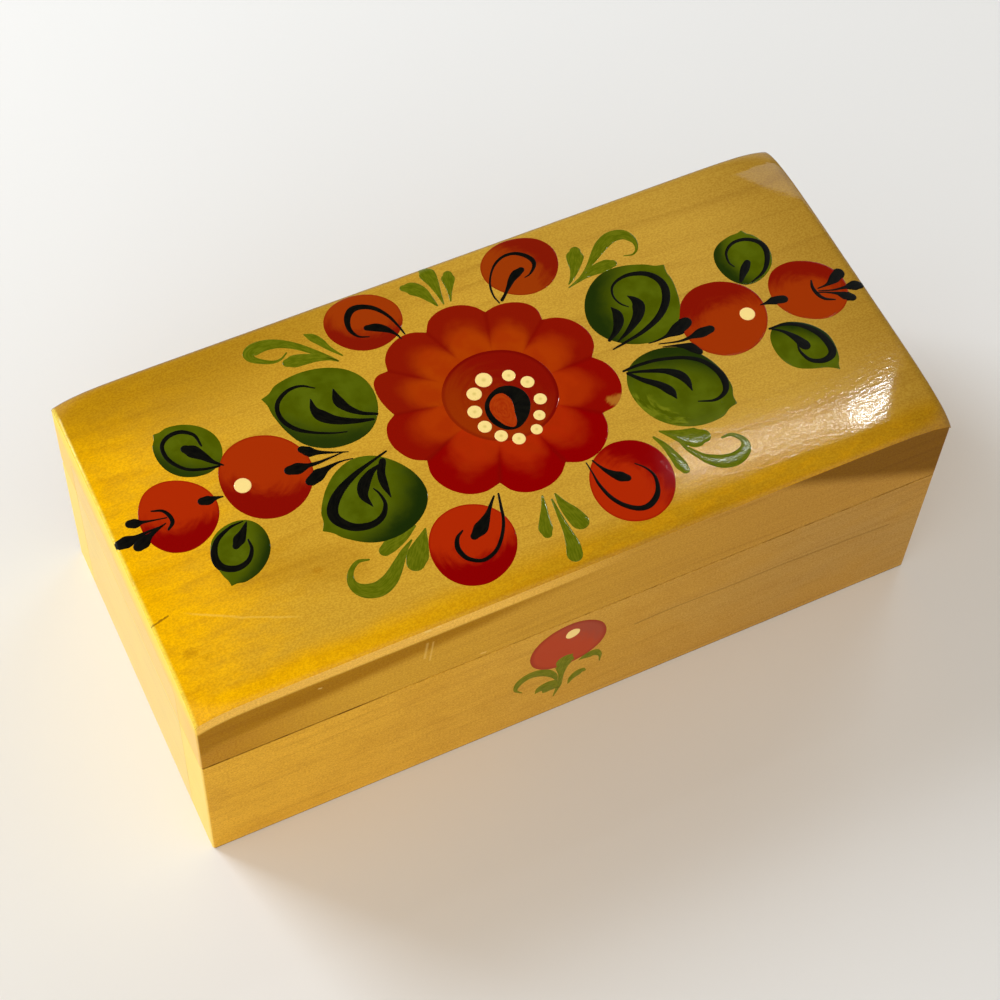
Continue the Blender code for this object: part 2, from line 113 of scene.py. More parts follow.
# The painter's outlines, in millimetres
# On the lid, places are across the box and towards its back; a stroke's third number is its width.
FLOWER_MIDDLE = (1.0, 4.4)
PETALS = [
    [(-7.6, 28.7), (-5.7, 31.6), (-2.8, 33.2), (0.5, 33.6), (3.8, 32.9), (6.6, 31.1), (8.6, 28.4)],
    [(8.6, 28.4), (11.5, 29), (14.5, 28.8), (17.4, 27.8), (19.6, 26.1), (20.9, 23.6), (20.7, 20.5)],
    [(20.7, 20.5), (24.2, 19.6), (27, 17.6), (28.9, 14.7), (29.7, 11.5), (29.1, 8.1), (27, 5.1)],
    [(27, 5.1), (29.3, 2.2), (30.3, -1.3), (30, -5), (28.5, -8.1), (25.8, -10.3), (22, -10.9)],
    [(22, -10.9), (21.5, -14.5), (19.9, -17.6), (17.3, -20), (14.2, -21.3), (10.7, -21.4), (7.3, -20)],
    [(7.3, -20), (4.9, -22.5), (1.7, -24.1), (-1.8, -24.5), (-5.2, -23.8), (-8, -21.9), (-9.8, -18.8)],
    [(-9.8, -18.8), (-13.8, -19.6), (-17.6, -18.8), (-20.7, -16.6), (-22.9, -13.5), (-23.9, -9.8),
     (-23.2, -5.8)],
    [(-23.2, -5.8), (-26.1, -4.2), (-28, -1.6), (-29.1, 1.5), (-29, 4.7), (-27.7, 7.6), (-25, 9.5)],
    [(-25, 9.5), (-25.8, 11.8), (-26.4, 14.7), (-26.4, 17.6), (-25.8, 20.1), (-24.1, 21.7), (-21.2, 22)],
    [(-21.2, 22), (-20.5, 25.1), (-18.8, 27.6), (-16.3, 29.3), (-13.5, 30.2), (-10.5, 30), (-7.6, 28.7)],
]
# Tones run from 0, a browner red, to 1, a purer one.
PETAL_TONES = [0.1, 0.1, 0.35, 0.7, 1.0, 1.0, 0.9, 0.45, 0.1, 0.1]
DISC = [
    (-12.4, 9.6), (-8, 15.2), (-1, 17.8), (6.4, 16.8), (12.3, 12.8), (15.6, 6.2), (14.9, -1.2),
    (10.5, -6.8), (3.5, -9.5), (-3.7, -8.6), (-9.6, -4.5), (-13, 2.2),
]
EYE = [
    (1, -6.6), (3.9, -5.3), (6.2, -2.9), (7.5, 0.1), (7.1, 3.3), (4.9, 5.8), (1.8, 6.6), (-1.3, 5.5),
    (-3.7, 3.2), (-4.6, 0.1), (-4.1, -3.1), (-2, -5.8),
]
TEAR = [
    (0.5, -6), (-1.3, -4.9), (-2.5, -2.8), (-3.1, -0.7), (-3.1, 1.6), (-2, 3.6), (0.1, 4.9), (2.1, 4.6),
    (3.2, 2.4), (3.1, 0.2), (2.5, -1.8), (1.8, -4.6),
]
# Each with its radius, and 1 where the print of the stick shows in its middle.
CREAM_DOTS = [
    (-0.6, 9.8, 2.29, 1.0),
    (5.6, 8.5, 1.84, 1.0),
    (9, 4.9, 1.88, 1.0),
    (9.7, -0.9, 1.78, 1.0),
    (7.4, -5.1, 1.63, 1.0),
    (5, -8.5, 1.62, 1.0),
    (-0.1, -9.2, 1.79, 1.0),
    (-3.7, -6.7, 1.79, 1.0),
    (-6.2, -2.7, 1.89, 1.0),
    (-6.6, 2.2, 1.99, 1.0),
    (-4.5, 7, 2.05, 1.0),
    (68.5, 0.9, 2.1, 0.0),
    (-66.2, 5.8, 2.24, 0.0),
]
# Each with the direction of its darker side and its tone.
BERRIES = [
    ([(-30, 41.6), (-27, 45.1), (-22.2, 46.5), (-17.3, 45.8), (-13.2, 43.3), (-10.7, 39.2), (-11.2, 34.4),
      (-14.4, 30.7), (-19.1, 29.1), (-23.8, 29.7), (-27.8, 32.4), (-30.3, 36.7)],
     (-0.41, -0.91), 0.1),
    ([(13.3, 41.6), (16.7, 45), (21.6, 46.4), (26.8, 45.7), (31, 43.2), (33, 38.9), (31.9, 33.9),
      (28.5, 30), (23.8, 28.4), (19, 29.2), (14.9, 32.2), (12.6, 36.8)],
     (0.89, 0.45), 0),
    ([(77.3, 6.4), (80.6, 10.2), (85.5, 11.1), (90.5, 9.4), (94.3, 6.1), (96.2, 1.5), (95.3, -3.6),
      (91.8, -7.4), (86.9, -8.6), (82.1, -6.9), (78.3, -3.5), (76.5, 1.3)],
     (0.41, 0.91), 0.25),
    ([(55, 11.1), (60, 13.6), (66.1, 13.1), (71.4, 9.7), (73.9, 4.7), (73.2, -1.2), (69.7, -6.3),
      (64.4, -9), (58.5, -8.7), (53.6, -5.3), (51.2, -0.1), (51.7, 6)],
     (-0.04, 1.0), 0.3),
    ([(-70, 12.3), (-66.1, 16.7), (-60.3, 18.1), (-54.3, 16.2), (-50.1, 11.8), (-48.5, 6), (-50.1, 0.2),
      (-54.4, -4.3), (-60.4, -6.1), (-66.1, -4.4), (-70, 0.1), (-71.3, 6.2)],
     (-0.41, -0.91), 0.6),
    ([(-91.4, 9.9), (-88.2, 13.7), (-83.4, 14.7), (-78.3, 12.8), (-74.6, 9), (-73.3, 4.2), (-74.8, -0.6),
      (-78.7, -4.3), (-83.8, -5.9), (-88.7, -4.5), (-91.8, -0.6), (-92.7, 4.7)],
     (-0.22, -0.97), 0.9),
    ([(-31.7, -25.4), (-27.8, -21.6), (-22.2, -20.3), (-16.6, -22.1), (-12.9, -26.3), (-12, -31.9),
      (-14, -37.2), (-18.2, -41), (-23.8, -42.6), (-29.2, -41), (-32.7, -36.7), (-33.5, -30.9)],
     (-0.13, -0.99), 1),
    ([(10.4, -26), (14, -21.6), (19.4, -19.5), (25.1, -20.8), (29, -24.8), (30.3, -30.5), (28.9, -36.1),
      (25.3, -40.5), (19.9, -42.6), (14.2, -41.4), (10.3, -37.3), (9, -31.7)],
     (0.85, 0.53), 1),
]
# Each from its tip, with the direction of its darker side and how dark that side is.
LEAVES = [
    ([(56.2, 23), (56.2, 17.5), (54.9, 11.5), (52.2, 6.3), (47.9, 3.2), (42.3, 2.9), (36.7, 4.9),
      (32.4, 8.8), (30.6, 13.8), (31.7, 19.2), (35, 23.9), (39.9, 27), (45.6, 27.4), (51.4, 25.6)],
     (-0.97, 0.24), 0.8),
    ([(53.1, -21.6), (48, -24), (42.3, -24), (37, -21.9), (32.9, -17.9), (30.8, -12.5), (30.8, -6.8),
      (33, -2.1), (37.3, 0.4), (42.7, 0.8), (48, -1), (52.1, -5), (54.4, -10.4), (54.8, -16.3)],
     (0.5, 0.87), 0.7),
    ([(-52.4, 26.7), (-47.7, 29.5), (-41.7, 30.4), (-35.6, 29.5), (-30.4, 26.8), (-27.2, 22.4),
      (-26.5, 16.9), (-28.2, 11.4), (-32, 7.5), (-37.5, 6.1), (-43.3, 7), (-48.1, 10.3), (-50.7, 15.3),
      (-52, 21.2)],
     (-0.41, -0.91), 0.5),
    ([(-53.5, -13.6), (-52, -8.3), (-48.7, -3.3), (-44.2, 0.5), (-39.1, 2.1), (-34, 0.8), (-29.7, -3.1),
      (-26.9, -8.3), (-26.5, -13.8), (-29.1, -18.3), (-33.8, -21.4), (-39.5, -22.5), (-45.1, -21.1),
      (-49.8, -17.7)],
     (0.62, -0.78), 1),
    ([(79.6, 24.7), (82, 22), (83.3, 18.7), (83.3, 15.2), (81.7, 12), (78.8, 9.7), (75.4, 8.6), (72.3, 9),
      (69.9, 11.3), (68.6, 14.6), (68.5, 18.3), (69.8, 21.5), (72.4, 23.5), (75.9, 24.5)],
     (-0.99, -0.12), 0.7),
    ([(81.5, -23.2), (78.5, -21.5), (74.9, -20.3), (71.7, -18.5), (69.8, -15.4), (69.3, -11.4),
      (70.2, -7.6), (72.4, -5.3), (75.6, -5), (79.1, -6.4), (82.1, -9), (84, -12.5), (84.2, -16.2),
      (83.3, -19.9)],
     (0.66, 0.75), 1),
    ([(-80.4, 27.9), (-76.7, 28.7), (-73, 28), (-69.6, 26), (-67.3, 23.1), (-66.4, 19.7), (-67, 16.2),
      (-68.9, 13.6), (-72, 12.3), (-75.6, 12.6), (-78.9, 14.2), (-81.2, 17), (-82.3, 20.7), (-82.1, 24.5)],
     (-0.66, -0.75), 0.4),
    ([(-78.9, -18.5), (-79.9, -15.1), (-80.4, -11.4), (-80.1, -7.9), (-78.5, -5), (-75.6, -3.1),
      (-71.9, -2.5), (-68.7, -3.4), (-66.6, -5.9), (-65.9, -9.3), (-66.6, -12.8), (-68.7, -15.8),
      (-71.8, -18), (-75.4, -19)],
     (0.75, -0.66), 0.8),
]
SPRIGS = [
    [(-31, 29.7, 0.4), (-33, 31.9, 1.1), (-35.7, 34.9, 1.5), (-38.7, 37.9, 1.8), (-41.9, 40.1, 2.3),
     (-45.3, 41.3, 3), (-48.6, 41.3, 3.5), (-50.4, 40.3, 2.9), (-49.8, 38.3, 1.7), (-46.2, 36, 0.9),
     (-43.7, 35.9, 0.5), (-41.7, 37.1, 0.3)],
    [(-42.6, 34.2, 2.3), (-41.1, 34, 3.5), (-38.4, 33.5, 3.1), (-35.4, 32.6, 2), (-32.7, 31.2, 1),
     (-31, 29.7, 0.4)],
    [(-35.5, 40.3, 0.4), (-34.2, 38.9, 2), (-32.8, 36.8, 2), (-31.5, 34, 1.1), (-29.4, 30.8, 0.3)],
    [(-7.1, 43.3, 1.9), (-5.4, 42.5, 3.7), (-3.6, 40.5, 3.3), (-2.4, 37.5, 1.7), (-1.6, 35, 0.4)],
    [(-0.4, 46.5, 2.2), (0.1, 44.9, 4), (0.4, 41.7, 2.7), (0.3, 38.3, 1.3), (0.1, 34.8, 0.3)],
    [(4.8, 42.6, 2.3), (4.4, 41.5, 3.3), (3.7, 39.4, 2.1), (3, 37.4, 1), (2.1, 34.9, 0.3)],
    [(31.1, 26.5, 0.2), (35.2, 28.2, 0.5), (38.5, 30.4, 1.1), (41.4, 32.7, 2.2), (44.6, 35.1, 3.2),
     (47.9, 36.5, 3.3), (50.9, 36.1, 2.9), (52.4, 34.4, 2.2), (52.9, 32.3, 1.2), (52.2, 30.3, 0.6),
     (50.6, 29.3, 0.4), (48.4, 29.8, 0.2)],
    [(37.6, 36.1, 2.7), (36.9, 34.8, 4.3), (35.9, 32.9, 3.5), (34.8, 30.9, 2.1), (33, 28.7, 0.9),
     (31.6, 27.5, 0.3)],
    [(44.6, 28.8, 2.1), (43, 29, 3.2), (40.1, 28.8, 3), (37.2, 28.2, 1.5), (34.1, 27.3, 0.6),
     (31.2, 26.5, 0.2)],
    [(30, -22.3, 0.6), (31.3, -25.4, 1.5), (32, -28.9, 2.3), (32.4, -31.8, 2.9), (32.7, -33.5, 2.2)],
    [(32.1, -21.3, 0.4), (34.3, -23.1, 2.1), (36.7, -25, 4.1), (39.2, -26.4, 5.4), (41, -26.8, 3.8)],
    [(35, -25.4, 0.4), (36, -28.4, 1.1), (37.9, -31.6, 1.8), (39.6, -33.5, 2.8), (42.1, -35.2, 3.6),
     (45.3, -35.8, 3.6), (48.3, -34.7, 2.9), (49.6, -32.9, 2), (49.3, -31, 1.4), (47.5, -29.2, 0.9),
     (45.2, -29.1, 0.5)],
    [(-2.1, -26.2, 0.4), (-3.1, -29.2, 1.3), (-4.4, -32.2, 2.4), (-5.3, -34.6, 3.3), (-5.6, -36, 2.3)],
    [(-0.4, -28, 0.4), (-0.7, -32.6, 1.1), (-0.9, -37, 1.9), (-1.3, -41, 3.2), (-2.1, -43.7, 3.7)],
    [(1, -26.9, 0.4), (1.4, -30.2, 2.2), (2.3, -33.4, 3.8), (3, -36.1, 4.3)],
    [(-47, -25.2, 0.4), (-49.7, -24.7, 0.9), (-52.3, -26.7, 1.3), (-53.1, -29.7, 2.1), (-51.5, -32.3, 3.4),
     (-48.1, -33.4, 4), (-44.5, -32.1, 3.6), (-41, -29, 2.5), (-38.5, -26.5, 1.4), (-35.7, -24.5, 0.4)],
    [(-33.3, -21.3, 0.4), (-37, -23, 2), (-40.4, -23.7, 3.5), (-42.4, -24.5, 2.9)],
    [(-31.4, -23, 0.4), (-33.8, -26.1, 3.2), (-36, -28.8, 5.1), (-37.2, -30.4, 4.4)],
]
BLACK_STROKES = [
    [(-12.6, 30.4, 0.3), (-13.1, 33.3, 0.6), (-14.2, 37.2, 0.9), (-16.3, 40.5, 1.3), (-19.1, 42.3, 1.6),
     (-21.6, 42.5, 2), (-23.5, 41, 1.9), (-24.5, 38.6, 1.5), (-24.5, 36.4, 1.1), (-23.4, 34.3, 0.6),
     (-21.1, 33.2, 0.3)],
    [(-20.3, 35.8, 1.9), (-18.4, 35.1, 2.7), (-16.7, 33.9, 2.3), (-15.4, 32.4, 1.3), (-14.5, 30.9, 0.6),
     (-14, 29.5, 0.3)],
    [(13, 29.4, 0.3), (12.6, 32.1, 0.4), (13.3, 35.5, 0.5), (15.1, 38.6, 0.5), (17.4, 40.9, 0.7),
     (20.2, 42.1, 0.8), (22.9, 41.9, 1), (25.2, 40.3, 1.3), (26.4, 38.1, 1.4), (26, 36.2, 1),
     (24, 34.4, 0.5), (22.3, 33.9, 0.2)],
    [(22.3, 36.4, 1.9), (20.7, 35.8, 2.6), (19, 34.7, 2), (17.2, 32.9, 1.2), (15.5, 31.2, 0.7),
     (14, 29.9, 0.8)],
    [(95.6, 2.5, 3.2), (93.8, 1.5, 3), (91.4, 0.7, 0.9), (88.7, 0.6, 0.3)],
    [(98.9, -2.8, 2.1), (97.5, -2.3, 2.8), (95, -1.9, 1), (92, -1.4, 0.5), (88.5, -0.2, 0.3)],
    [(95.2, -5.3, 2.1), (93.8, -4.1, 2.7), (92.3, -2.7, 1), (89.7, -1.2, 0.4), (87.8, -0.5, 0.3)],
    [(88.3, 3.4, 0.4), (87.6, 1.5, 0.9), (87.7, -0.9, 1.1), (88.7, -2.9, 0.9), (90.9, -4.2, 0.4)],
    [(78.8, 1.3, 2.7), (76.8, 1.8, 2.5), (74.6, 1.9, 0.9), (72.9, 2, 0.3)],
    [(52.7, 4.8, 3.7), (50, 3.9, 3.6), (46.8, 3.2, 1), (43.9, 2.9, 0.4), (41.7, 3, 0.2)],
    [(57.5, 0.6, 2.6), (54.9, 0.5, 3.1), (52, 0.4, 1.1), (48.8, 0.5, 0.5), (43.9, 1.8, 0.2)],
    [(51.9, -4.2, 2), (50.8, -2.5, 2.9), (49, -1.1, 1.3), (46.8, -0.1, 0.5), (44.4, 0.6, 0.2)],
    [(-49.3, 9.3, 2.1), (-48, 8.1, 2.8), (-46.1, 7.1, 1.2), (-43, 5.7, 0.5), (-39.4, 4.3, 0.2)],
    [(-54.1, 5.1, 2.9), (-52.1, 4.8, 3.6), (-49.6, 4.6, 1.4), (-46.6, 4.4, 0.7), (-40.5, 4.7, 0.2)],
    [(-50.7, 0.4, 2.8), (-48.6, 1.2, 3.3), (-46.3, 1.9, 1.6), (-44.5, 2.3, 0.9), (-42.1, 2.5, 0.4),
     (-39.2, 2.1, 0.2)],
    [(-94.5, 6.8, 2.1), (-93.2, 6.4, 2.4), (-91.4, 6, 0.9), (-88.7, 5.4, 0.4), (-86, 4.9, 0.3)],
    [(-98.8, 2.4, 2.5), (-96.8, 2.5, 3.1), (-94.4, 2.7, 1.4), (-91.3, 3.1, 0.7), (-87.8, 3.2, 0.3)],
    [(-94.8, 0.2, 2.5), (-93.3, 0.9, 3.2), (-91.1, 2, 1.5), (-89.1, 2.8, 0.9), (-86.8, 3.5, 0.3)],
    [(-88.6, 8, 0.4), (-86.3, 7.1, 0.8), (-85.2, 5.2, 1.1), (-85.2, 3.1, 1.1), (-86.7, 1.7, 0.6)],
    [(-76.4, 5.6, 2.5), (-75, 5.3, 2.8), (-73.3, 5.2, 1), (-71.7, 4.9, 0.3)],
    [(-21.4, -29.5, 2.3), (-19.4, -28.3, 3.9), (-17.6, -26.8, 2.7), (-16, -25.2, 1.4), (-14.3, -23.2, 0.7),
     (-12.7, -21.5, 0.4)],
    [(-11.4, -21.3, 0.4), (-12.5, -25.2, 0.6), (-13.5, -28.5, 0.8), (-15.5, -32, 0.9), (-18.4, -35.1, 1),
     (-21.7, -36.4, 1.1), (-24.1, -35.8, 1.1), (-26, -33.9, 1.3), (-26.6, -31, 1.4), (-25.5, -28.4, 1),
     (-23.6, -27.1, 0.4)],
    [(18.6, -29.8, 2.3), (17.6, -29, 3.1), (16.3, -27.7, 2.2), (15, -25.9, 1.2), (14.1, -24, 0.6),
     (13.4, -22.2, 0.4)],
    [(11.7, -22.1, 0.2), (11.8, -25.3, 0.4), (11.8, -28.9, 0.8), (12.7, -33.1, 1.1), (14.6, -36.4, 1.3),
     (17.4, -38.7, 1.5), (20.1, -39, 1.7), (22.7, -37.6, 1.6), (24.3, -35.4, 1.2), (25.1, -32.1, 0.8),
     (24.2, -29.3, 0.5), (22.4, -27.1, 0.3)],
    [(32.8, 5, 0.3), (36.8, 5.7, 0.7), (42, 6.8, 1.2), (47.3, 9, 1.8), (51, 12.1, 2.2), (53.1, 16, 2.3),
     (53, 19.6, 2), (50.8, 22.5, 1.6), (47, 23.9, 1.2), (43.5, 23.6, 0.8), (41, 22, 0.6), (40.1, 19.3, 0.5),
     (40.7, 16.8, 0.5), (42.1, 15.1, 0.3)],
    [(35, 6.6, 0.3), (39, 8.6, 1.5), (42.9, 11.5, 2.9), (44.6, 14.3, 3.6), (44.5, 16.3, 2.2),
     (43.5, 18.1, 0.3)],
    [(33.1, 7.8, 0.7), (35.8, 9.6, 1.8), (37.8, 12, 2.9), (38.5, 14.3, 2.6), (38.1, 16.6, 0.3)],
    [(32.1, -1.9, 0.5), (36.3, -1.8, 0.9), (41.6, -2.4, 1), (47.6, -4.4, 1.1), (51.4, -7.2, 1.4),
     (53.5, -11.4, 1.8), (53.5, -15.3, 1.9), (51.9, -17.8, 1.3), (48.7, -18.7, 0.8), (44.9, -17.4, 0.3)],
    [(32.7, -2.8, 0.5), (36.4, -3.9, 0.9), (41.2, -5.9, 1.6), (44.1, -8.3, 2.7), (45.1, -10.7, 2.2),
     (45, -13.8, 0.3)],
    [(32.8, -3.1, 0.8), (35.3, -6.2, 1.5), (38.3, -9.1, 2.2), (40, -11.9, 2.6), (40.4, -14.4, 0.3)],
    [(-39.5, 24.6, 0.3), (-42.3, 26.5, 0.7), (-45.7, 26.6, 1), (-48.9, 24.8, 1.2), (-50.4, 22.1, 1.2),
     (-50.2, 18.6, 1.3), (-48.2, 15.3, 1.2), (-44.9, 12.8, 0.8), (-40.6, 10.7, 0.5), (-37.4, 9.7, 0.3)],
    [(-28.7, 11.5, 0.8), (-31.9, 13.2, 1.2), (-34.4, 15.8, 2.2), (-35.7, 18.8, 2.9), (-35.5, 22.4, 0.3)],
    [(-30.1, 10.4, 0.7), (-34.2, 11.7, 1.6), (-38.4, 13.8, 2.7), (-41.1, 16.4, 3.6), (-42.1, 18.9, 2.1),
     (-41.7, 21.9, 0.3)],
    [(-31, 0.7, 0.4), (-35.4, -0.6, 0.8), (-40.7, -2.4, 1.6), (-45.8, -5.2, 2.5), (-49.1, -8.7, 3),
     (-49.6, -12, 2.9), (-46.9, -15.5, 2.4), (-42.7, -16.8, 2), (-39.2, -15.7, 1.6), (-37.2, -12.8, 1),
     (-37.3, -9.7, 0.6), (-38, -7.8, 0.3)],
    [(-34.2, -2.2, 0.6), (-36.9, -3.4, 2), (-39.7, -5.8, 3.3), (-41, -8.7, 2.4), (-40.2, -12.2, 0.2)],
    [(-33, -1.7, 1.9), (-34.6, -4.5, 2.2), (-35.2, -7.8, 2), (-35.2, -11.6, 0.2)],
    [(72.5, 15.3, 0.3), (71.9, 17.1, 0.5), (72.8, 20.1, 0.7), (75.5, 22, 0.9), (79, 21.9, 1.1),
     (81.9, 19.8, 1.4), (82.5, 16.7, 1.6), (80.9, 13.2, 1.4), (78.2, 10.6, 0.9), (74.3, 9.2, 0.3)],
    [(76, 14.9, 2), (74.8, 13.7, 2.5), (73.4, 12.3, 1.9), (71.9, 10.6, 0.9)],
    [(71.4, -5.4, 0.5), (75.3, -5.7, 0.8), (79.1, -7.7, 1.2), (82.1, -11.9, 1.8), (82.8, -16.4, 2.2),
     (81.7, -18.7, 2.1), (78.9, -19.3, 1.6), (76.1, -17.8, 1.2), (75.1, -14.6, 0.7), (75.6, -12.2, 0.3)],
    [(71.7, -5.5, 0.4), (74.2, -7.6, 0.9), (76, -10.4, 2.1), (77, -13.1, 3.2)],
    [(-69.2, 13.2, 0.5), (-73, 13.9, 0.8), (-77, 15.8, 0.9), (-79.7, 19.8, 1.1), (-79.8, 23.8, 1.1),
     (-77.6, 25.9, 1.2), (-74.3, 26.1, 1.2), (-71.5, 23.9, 0.9), (-71, 20.4, 0.5)],
    [(-74.7, 20.8, 2.6), (-73.5, 19.6, 3.9), (-71.7, 17.3, 2.5), (-70.2, 15, 1.2), (-68.3, 13.1, 0.4)],
    [(-70, -3.4, 0.3), (-73.6, -3.8, 0.8), (-77.7, -6, 1.4), (-79.6, -9.7, 1.8), (-79.1, -13, 2),
     (-76.1, -14.7, 1.8), (-72.8, -13.9, 1.3), (-70.9, -11.3, 0.9), (-70.7, -8.6, 0.4)],
    [(-73.8, -8.9, 2), (-72.6, -7.7, 3.3), (-71.1, -6.2, 2), (-69.3, -4, 0.4)],
]
# On the front, places are across the box and up from its foot.
FRONT_BERRY = [
    (-13.8, 34.3), (-12.2, 39.6), (-8.1, 43.4), (-2.7, 44.6), (2.4, 42.8), (6.3, 38.6), (7.7, 33),
    (6.3, 27.9), (2.1, 24.3), (-3.6, 23.2), (-8.9, 24.8), (-12.6, 28.8),
]
FRONT_DOT = [
    (-4.3, 38.4), (-3.7, 40.7), (-1.9, 41.3), (-0.2, 40), (-0.3, 38.1), (-1.6, 36.9), (-3.2, 36.9),
]
FRONT_STROKES = [
    [(-1.6, 27.7, 0.5), (-2.5, 27, 4.7), (-3.4, 25.6, 6.6), (-4, 23, 3.8), (-4.1, 19.2, 1.7),
     (-4.2, 16, 1.3), (-4.5, 12.8, 1.5), (-4.9, 11, 1), (-5.7, 7.9, 0.3)],
    [(-5.1, 15.6, 0.2), (-6.1, 19.3, 1.6), (-8.5, 22.8, 2.6), (-11.4, 24.7, 3), (-13.7, 24.9, 3),
     (-15.6, 23.8, 2.7), (-16.7, 21.9, 1.8), (-16.9, 19.6, 0.8), (-15.1, 17.1, 0.2)],
    [(-11.1, 13.7, 0.4), (-9.7, 14.9, 3.5), (-7.9, 14.7, 5.4), (-6.1, 13.6, 4.5), (-4.8, 12.1, 0.9)],
    [(-1.7, 11.9, 0.4), (-0.9, 14.1, 1.9), (0.6, 15.6, 3), (1.9, 15.9, 2.5), (2.6, 15.6, 1)],
    [(0.8, 22.9, 0.5), (2.5, 23.5, 2.5), (4.4, 23.5, 3.1), (5.5, 22.9, 2.3), (6.7, 20.9, 1),
     (6.8, 17.7, 0.2)],
]

# Each with its two ends, its half width and how pale it is.
FRONT_NICKS = [
    ((-42.4, 70.5), (-41.4, 70.3), 0.7, 0.7), ((-39.3, 70.6), (-38.9, 70.5), 0.5, 0.6),
    ((-41.9, 64.4), (-42.6, 57.5), 0.5, 0.28), ((-40.4, 64.0), (-41.2, 55.5), 0.4, 0.28),
    ((-27.4, 48.2), (-26.4, 48.0), 0.45, 0.5), ((-69.5, 63.6), (-69.0, 63.4), 0.45, 0.5),
]
# Each with its place, its size and how dark it is.
TOP_SPOTS = [(-94.3, -31.0, 2.0, 0.45), (-91.0, -33.5, 1.2, 0.3), (-59.0, -22.9, 1.2, 0.45)]


# Materials
def tint(red, green, blue):
    """A screen colour, 0 to 255, as the linear colour that a shader takes."""
    screen = np.array([red, green, blue]) / 255
    linear = np.where(screen <= 0.04045, screen / 12.92, ((screen + 0.055) / 1.055) ** 2.4)
    return (*linear.tolist(), 1.0)


BARE_WOOD = tint(226, 192, 142)
# Sockets of a Mix node for colours, by number, because its sockets for numbers have the same names
MIX_SHARE, MIX_FIRST, MIX_SECOND, MIX_COLOUR = 0, 6, 7, 2


class Value:
    """A number that changes over a surface; arithmetic on it adds Math nodes."""

    def __init__(self, nodes, socket):
        self.nodes = nodes
        self.socket = socket

    def math(self, operation, first, second=None):
        """One Math node on one or two numbers."""
        values = {0: first} if second is None else {0: first, 1: second}
        return self.nodes.node("Math", {"operation": operation}, values)

    def __add__(self, other):
        return self.math("ADD", self, other)

    def __radd__(self, other):
        return self.math("ADD", other, self)

    def __sub__(self, other):
        return self.math("SUBTRACT", self, other)

    def __rsub__(self, other):
        return self.math("SUBTRACT", other, self)

    def __mul__(self, other):
        return self.math("MULTIPLY", self, other)

    def __rmul__(self, other):
        return self.math("MULTIPLY", other, self)

    def __truediv__(self, other):
        return self.math("DIVIDE", self, other)

    def __pow__(self, other):
        return self.math("POWER", self, other)

    def __neg__(self):
        return self.math("MULTIPLY", self, -1.0)

    def __abs__(self):
        return self.math("ABSOLUTE", self)

    def least(self, other):
        """The lower of the two."""
        return self.math("MINIMUM", self, other)

    def most(self, other):
        """The higher of the two."""
        return self.math("MAXIMUM", self, other)

    def fraction(self):
        """What stands after the point."""
        return self.math("FRACT", self)

    def band(self, low, high):
        """0 below low, 1 above high, eased between them; high may be less than low."""
        if high < low:
            return 1.0 - self.band(high, low)
        settings = {"interpolation_type": "SMOOTHSTEP"}
        return self.nodes.node("MapRange", settings, {"Value": self, "From Min": low, "From Max": high})


class Nodes:
    """The node tree of a material or of the world."""

    def __init__(self, tree):
        self.tree = tree

    def node(self, kind, settings=None, values=None, output=0):
        """Add a node: its settings first, then the values or links of its sockets."""
        node = self.tree.nodes.new("ShaderNode" + kind)
        for key, setting in (settings or {}).items():
            setattr(node, key, setting)
        for key, value in (values or {}).items():
            self.feed(node.inputs[key], value)
        return Value(self, node.outputs[output])

    def feed(self, socket, value):
        """Give a socket a link or a fixed value."""
        if isinstance(value, Value):
            self.tree.links.new(value.socket, socket)
        else:
            socket.default_value = value

    def mix(self, share, first, second, blend="MIX"):
        """Colour between first and second."""
        settings = {"data_type": "RGBA", "blend_type": blend}
        values = {MIX_SHARE: share, MIX_FIRST: first, MIX_SECOND: second}
        return self.node("Mix", settings, values, MIX_COLOUR)

    def parts(self, vector, scale=1.0):
        """The three numbers of a vector, each times the scale."""
        scaled = self.node("VectorMath", {"operation": "SCALE"}, {0: vector, "Scale": scale})
        return [self.node("SeparateXYZ", None, {0: scaled}, axis) for axis in range(3)]

    def vector(self, x, y, z):
        """A vector from its three numbers."""
        return self.node("CombineXYZ", None, {0: x, 1: y, 2: z})

    def noise(self, x, y, z, detail=2.0, roughness=0.5, distortion=0.0):
        """Soft noise between 0 and 1 at a place that is already scaled."""
        values = {"Vector": self.vector(x, y, z), "Scale": 1.0, "Detail": detail}
        values.update({"Roughness": roughness, "Distortion": distortion})
        return self.node("TexNoise", None, values)


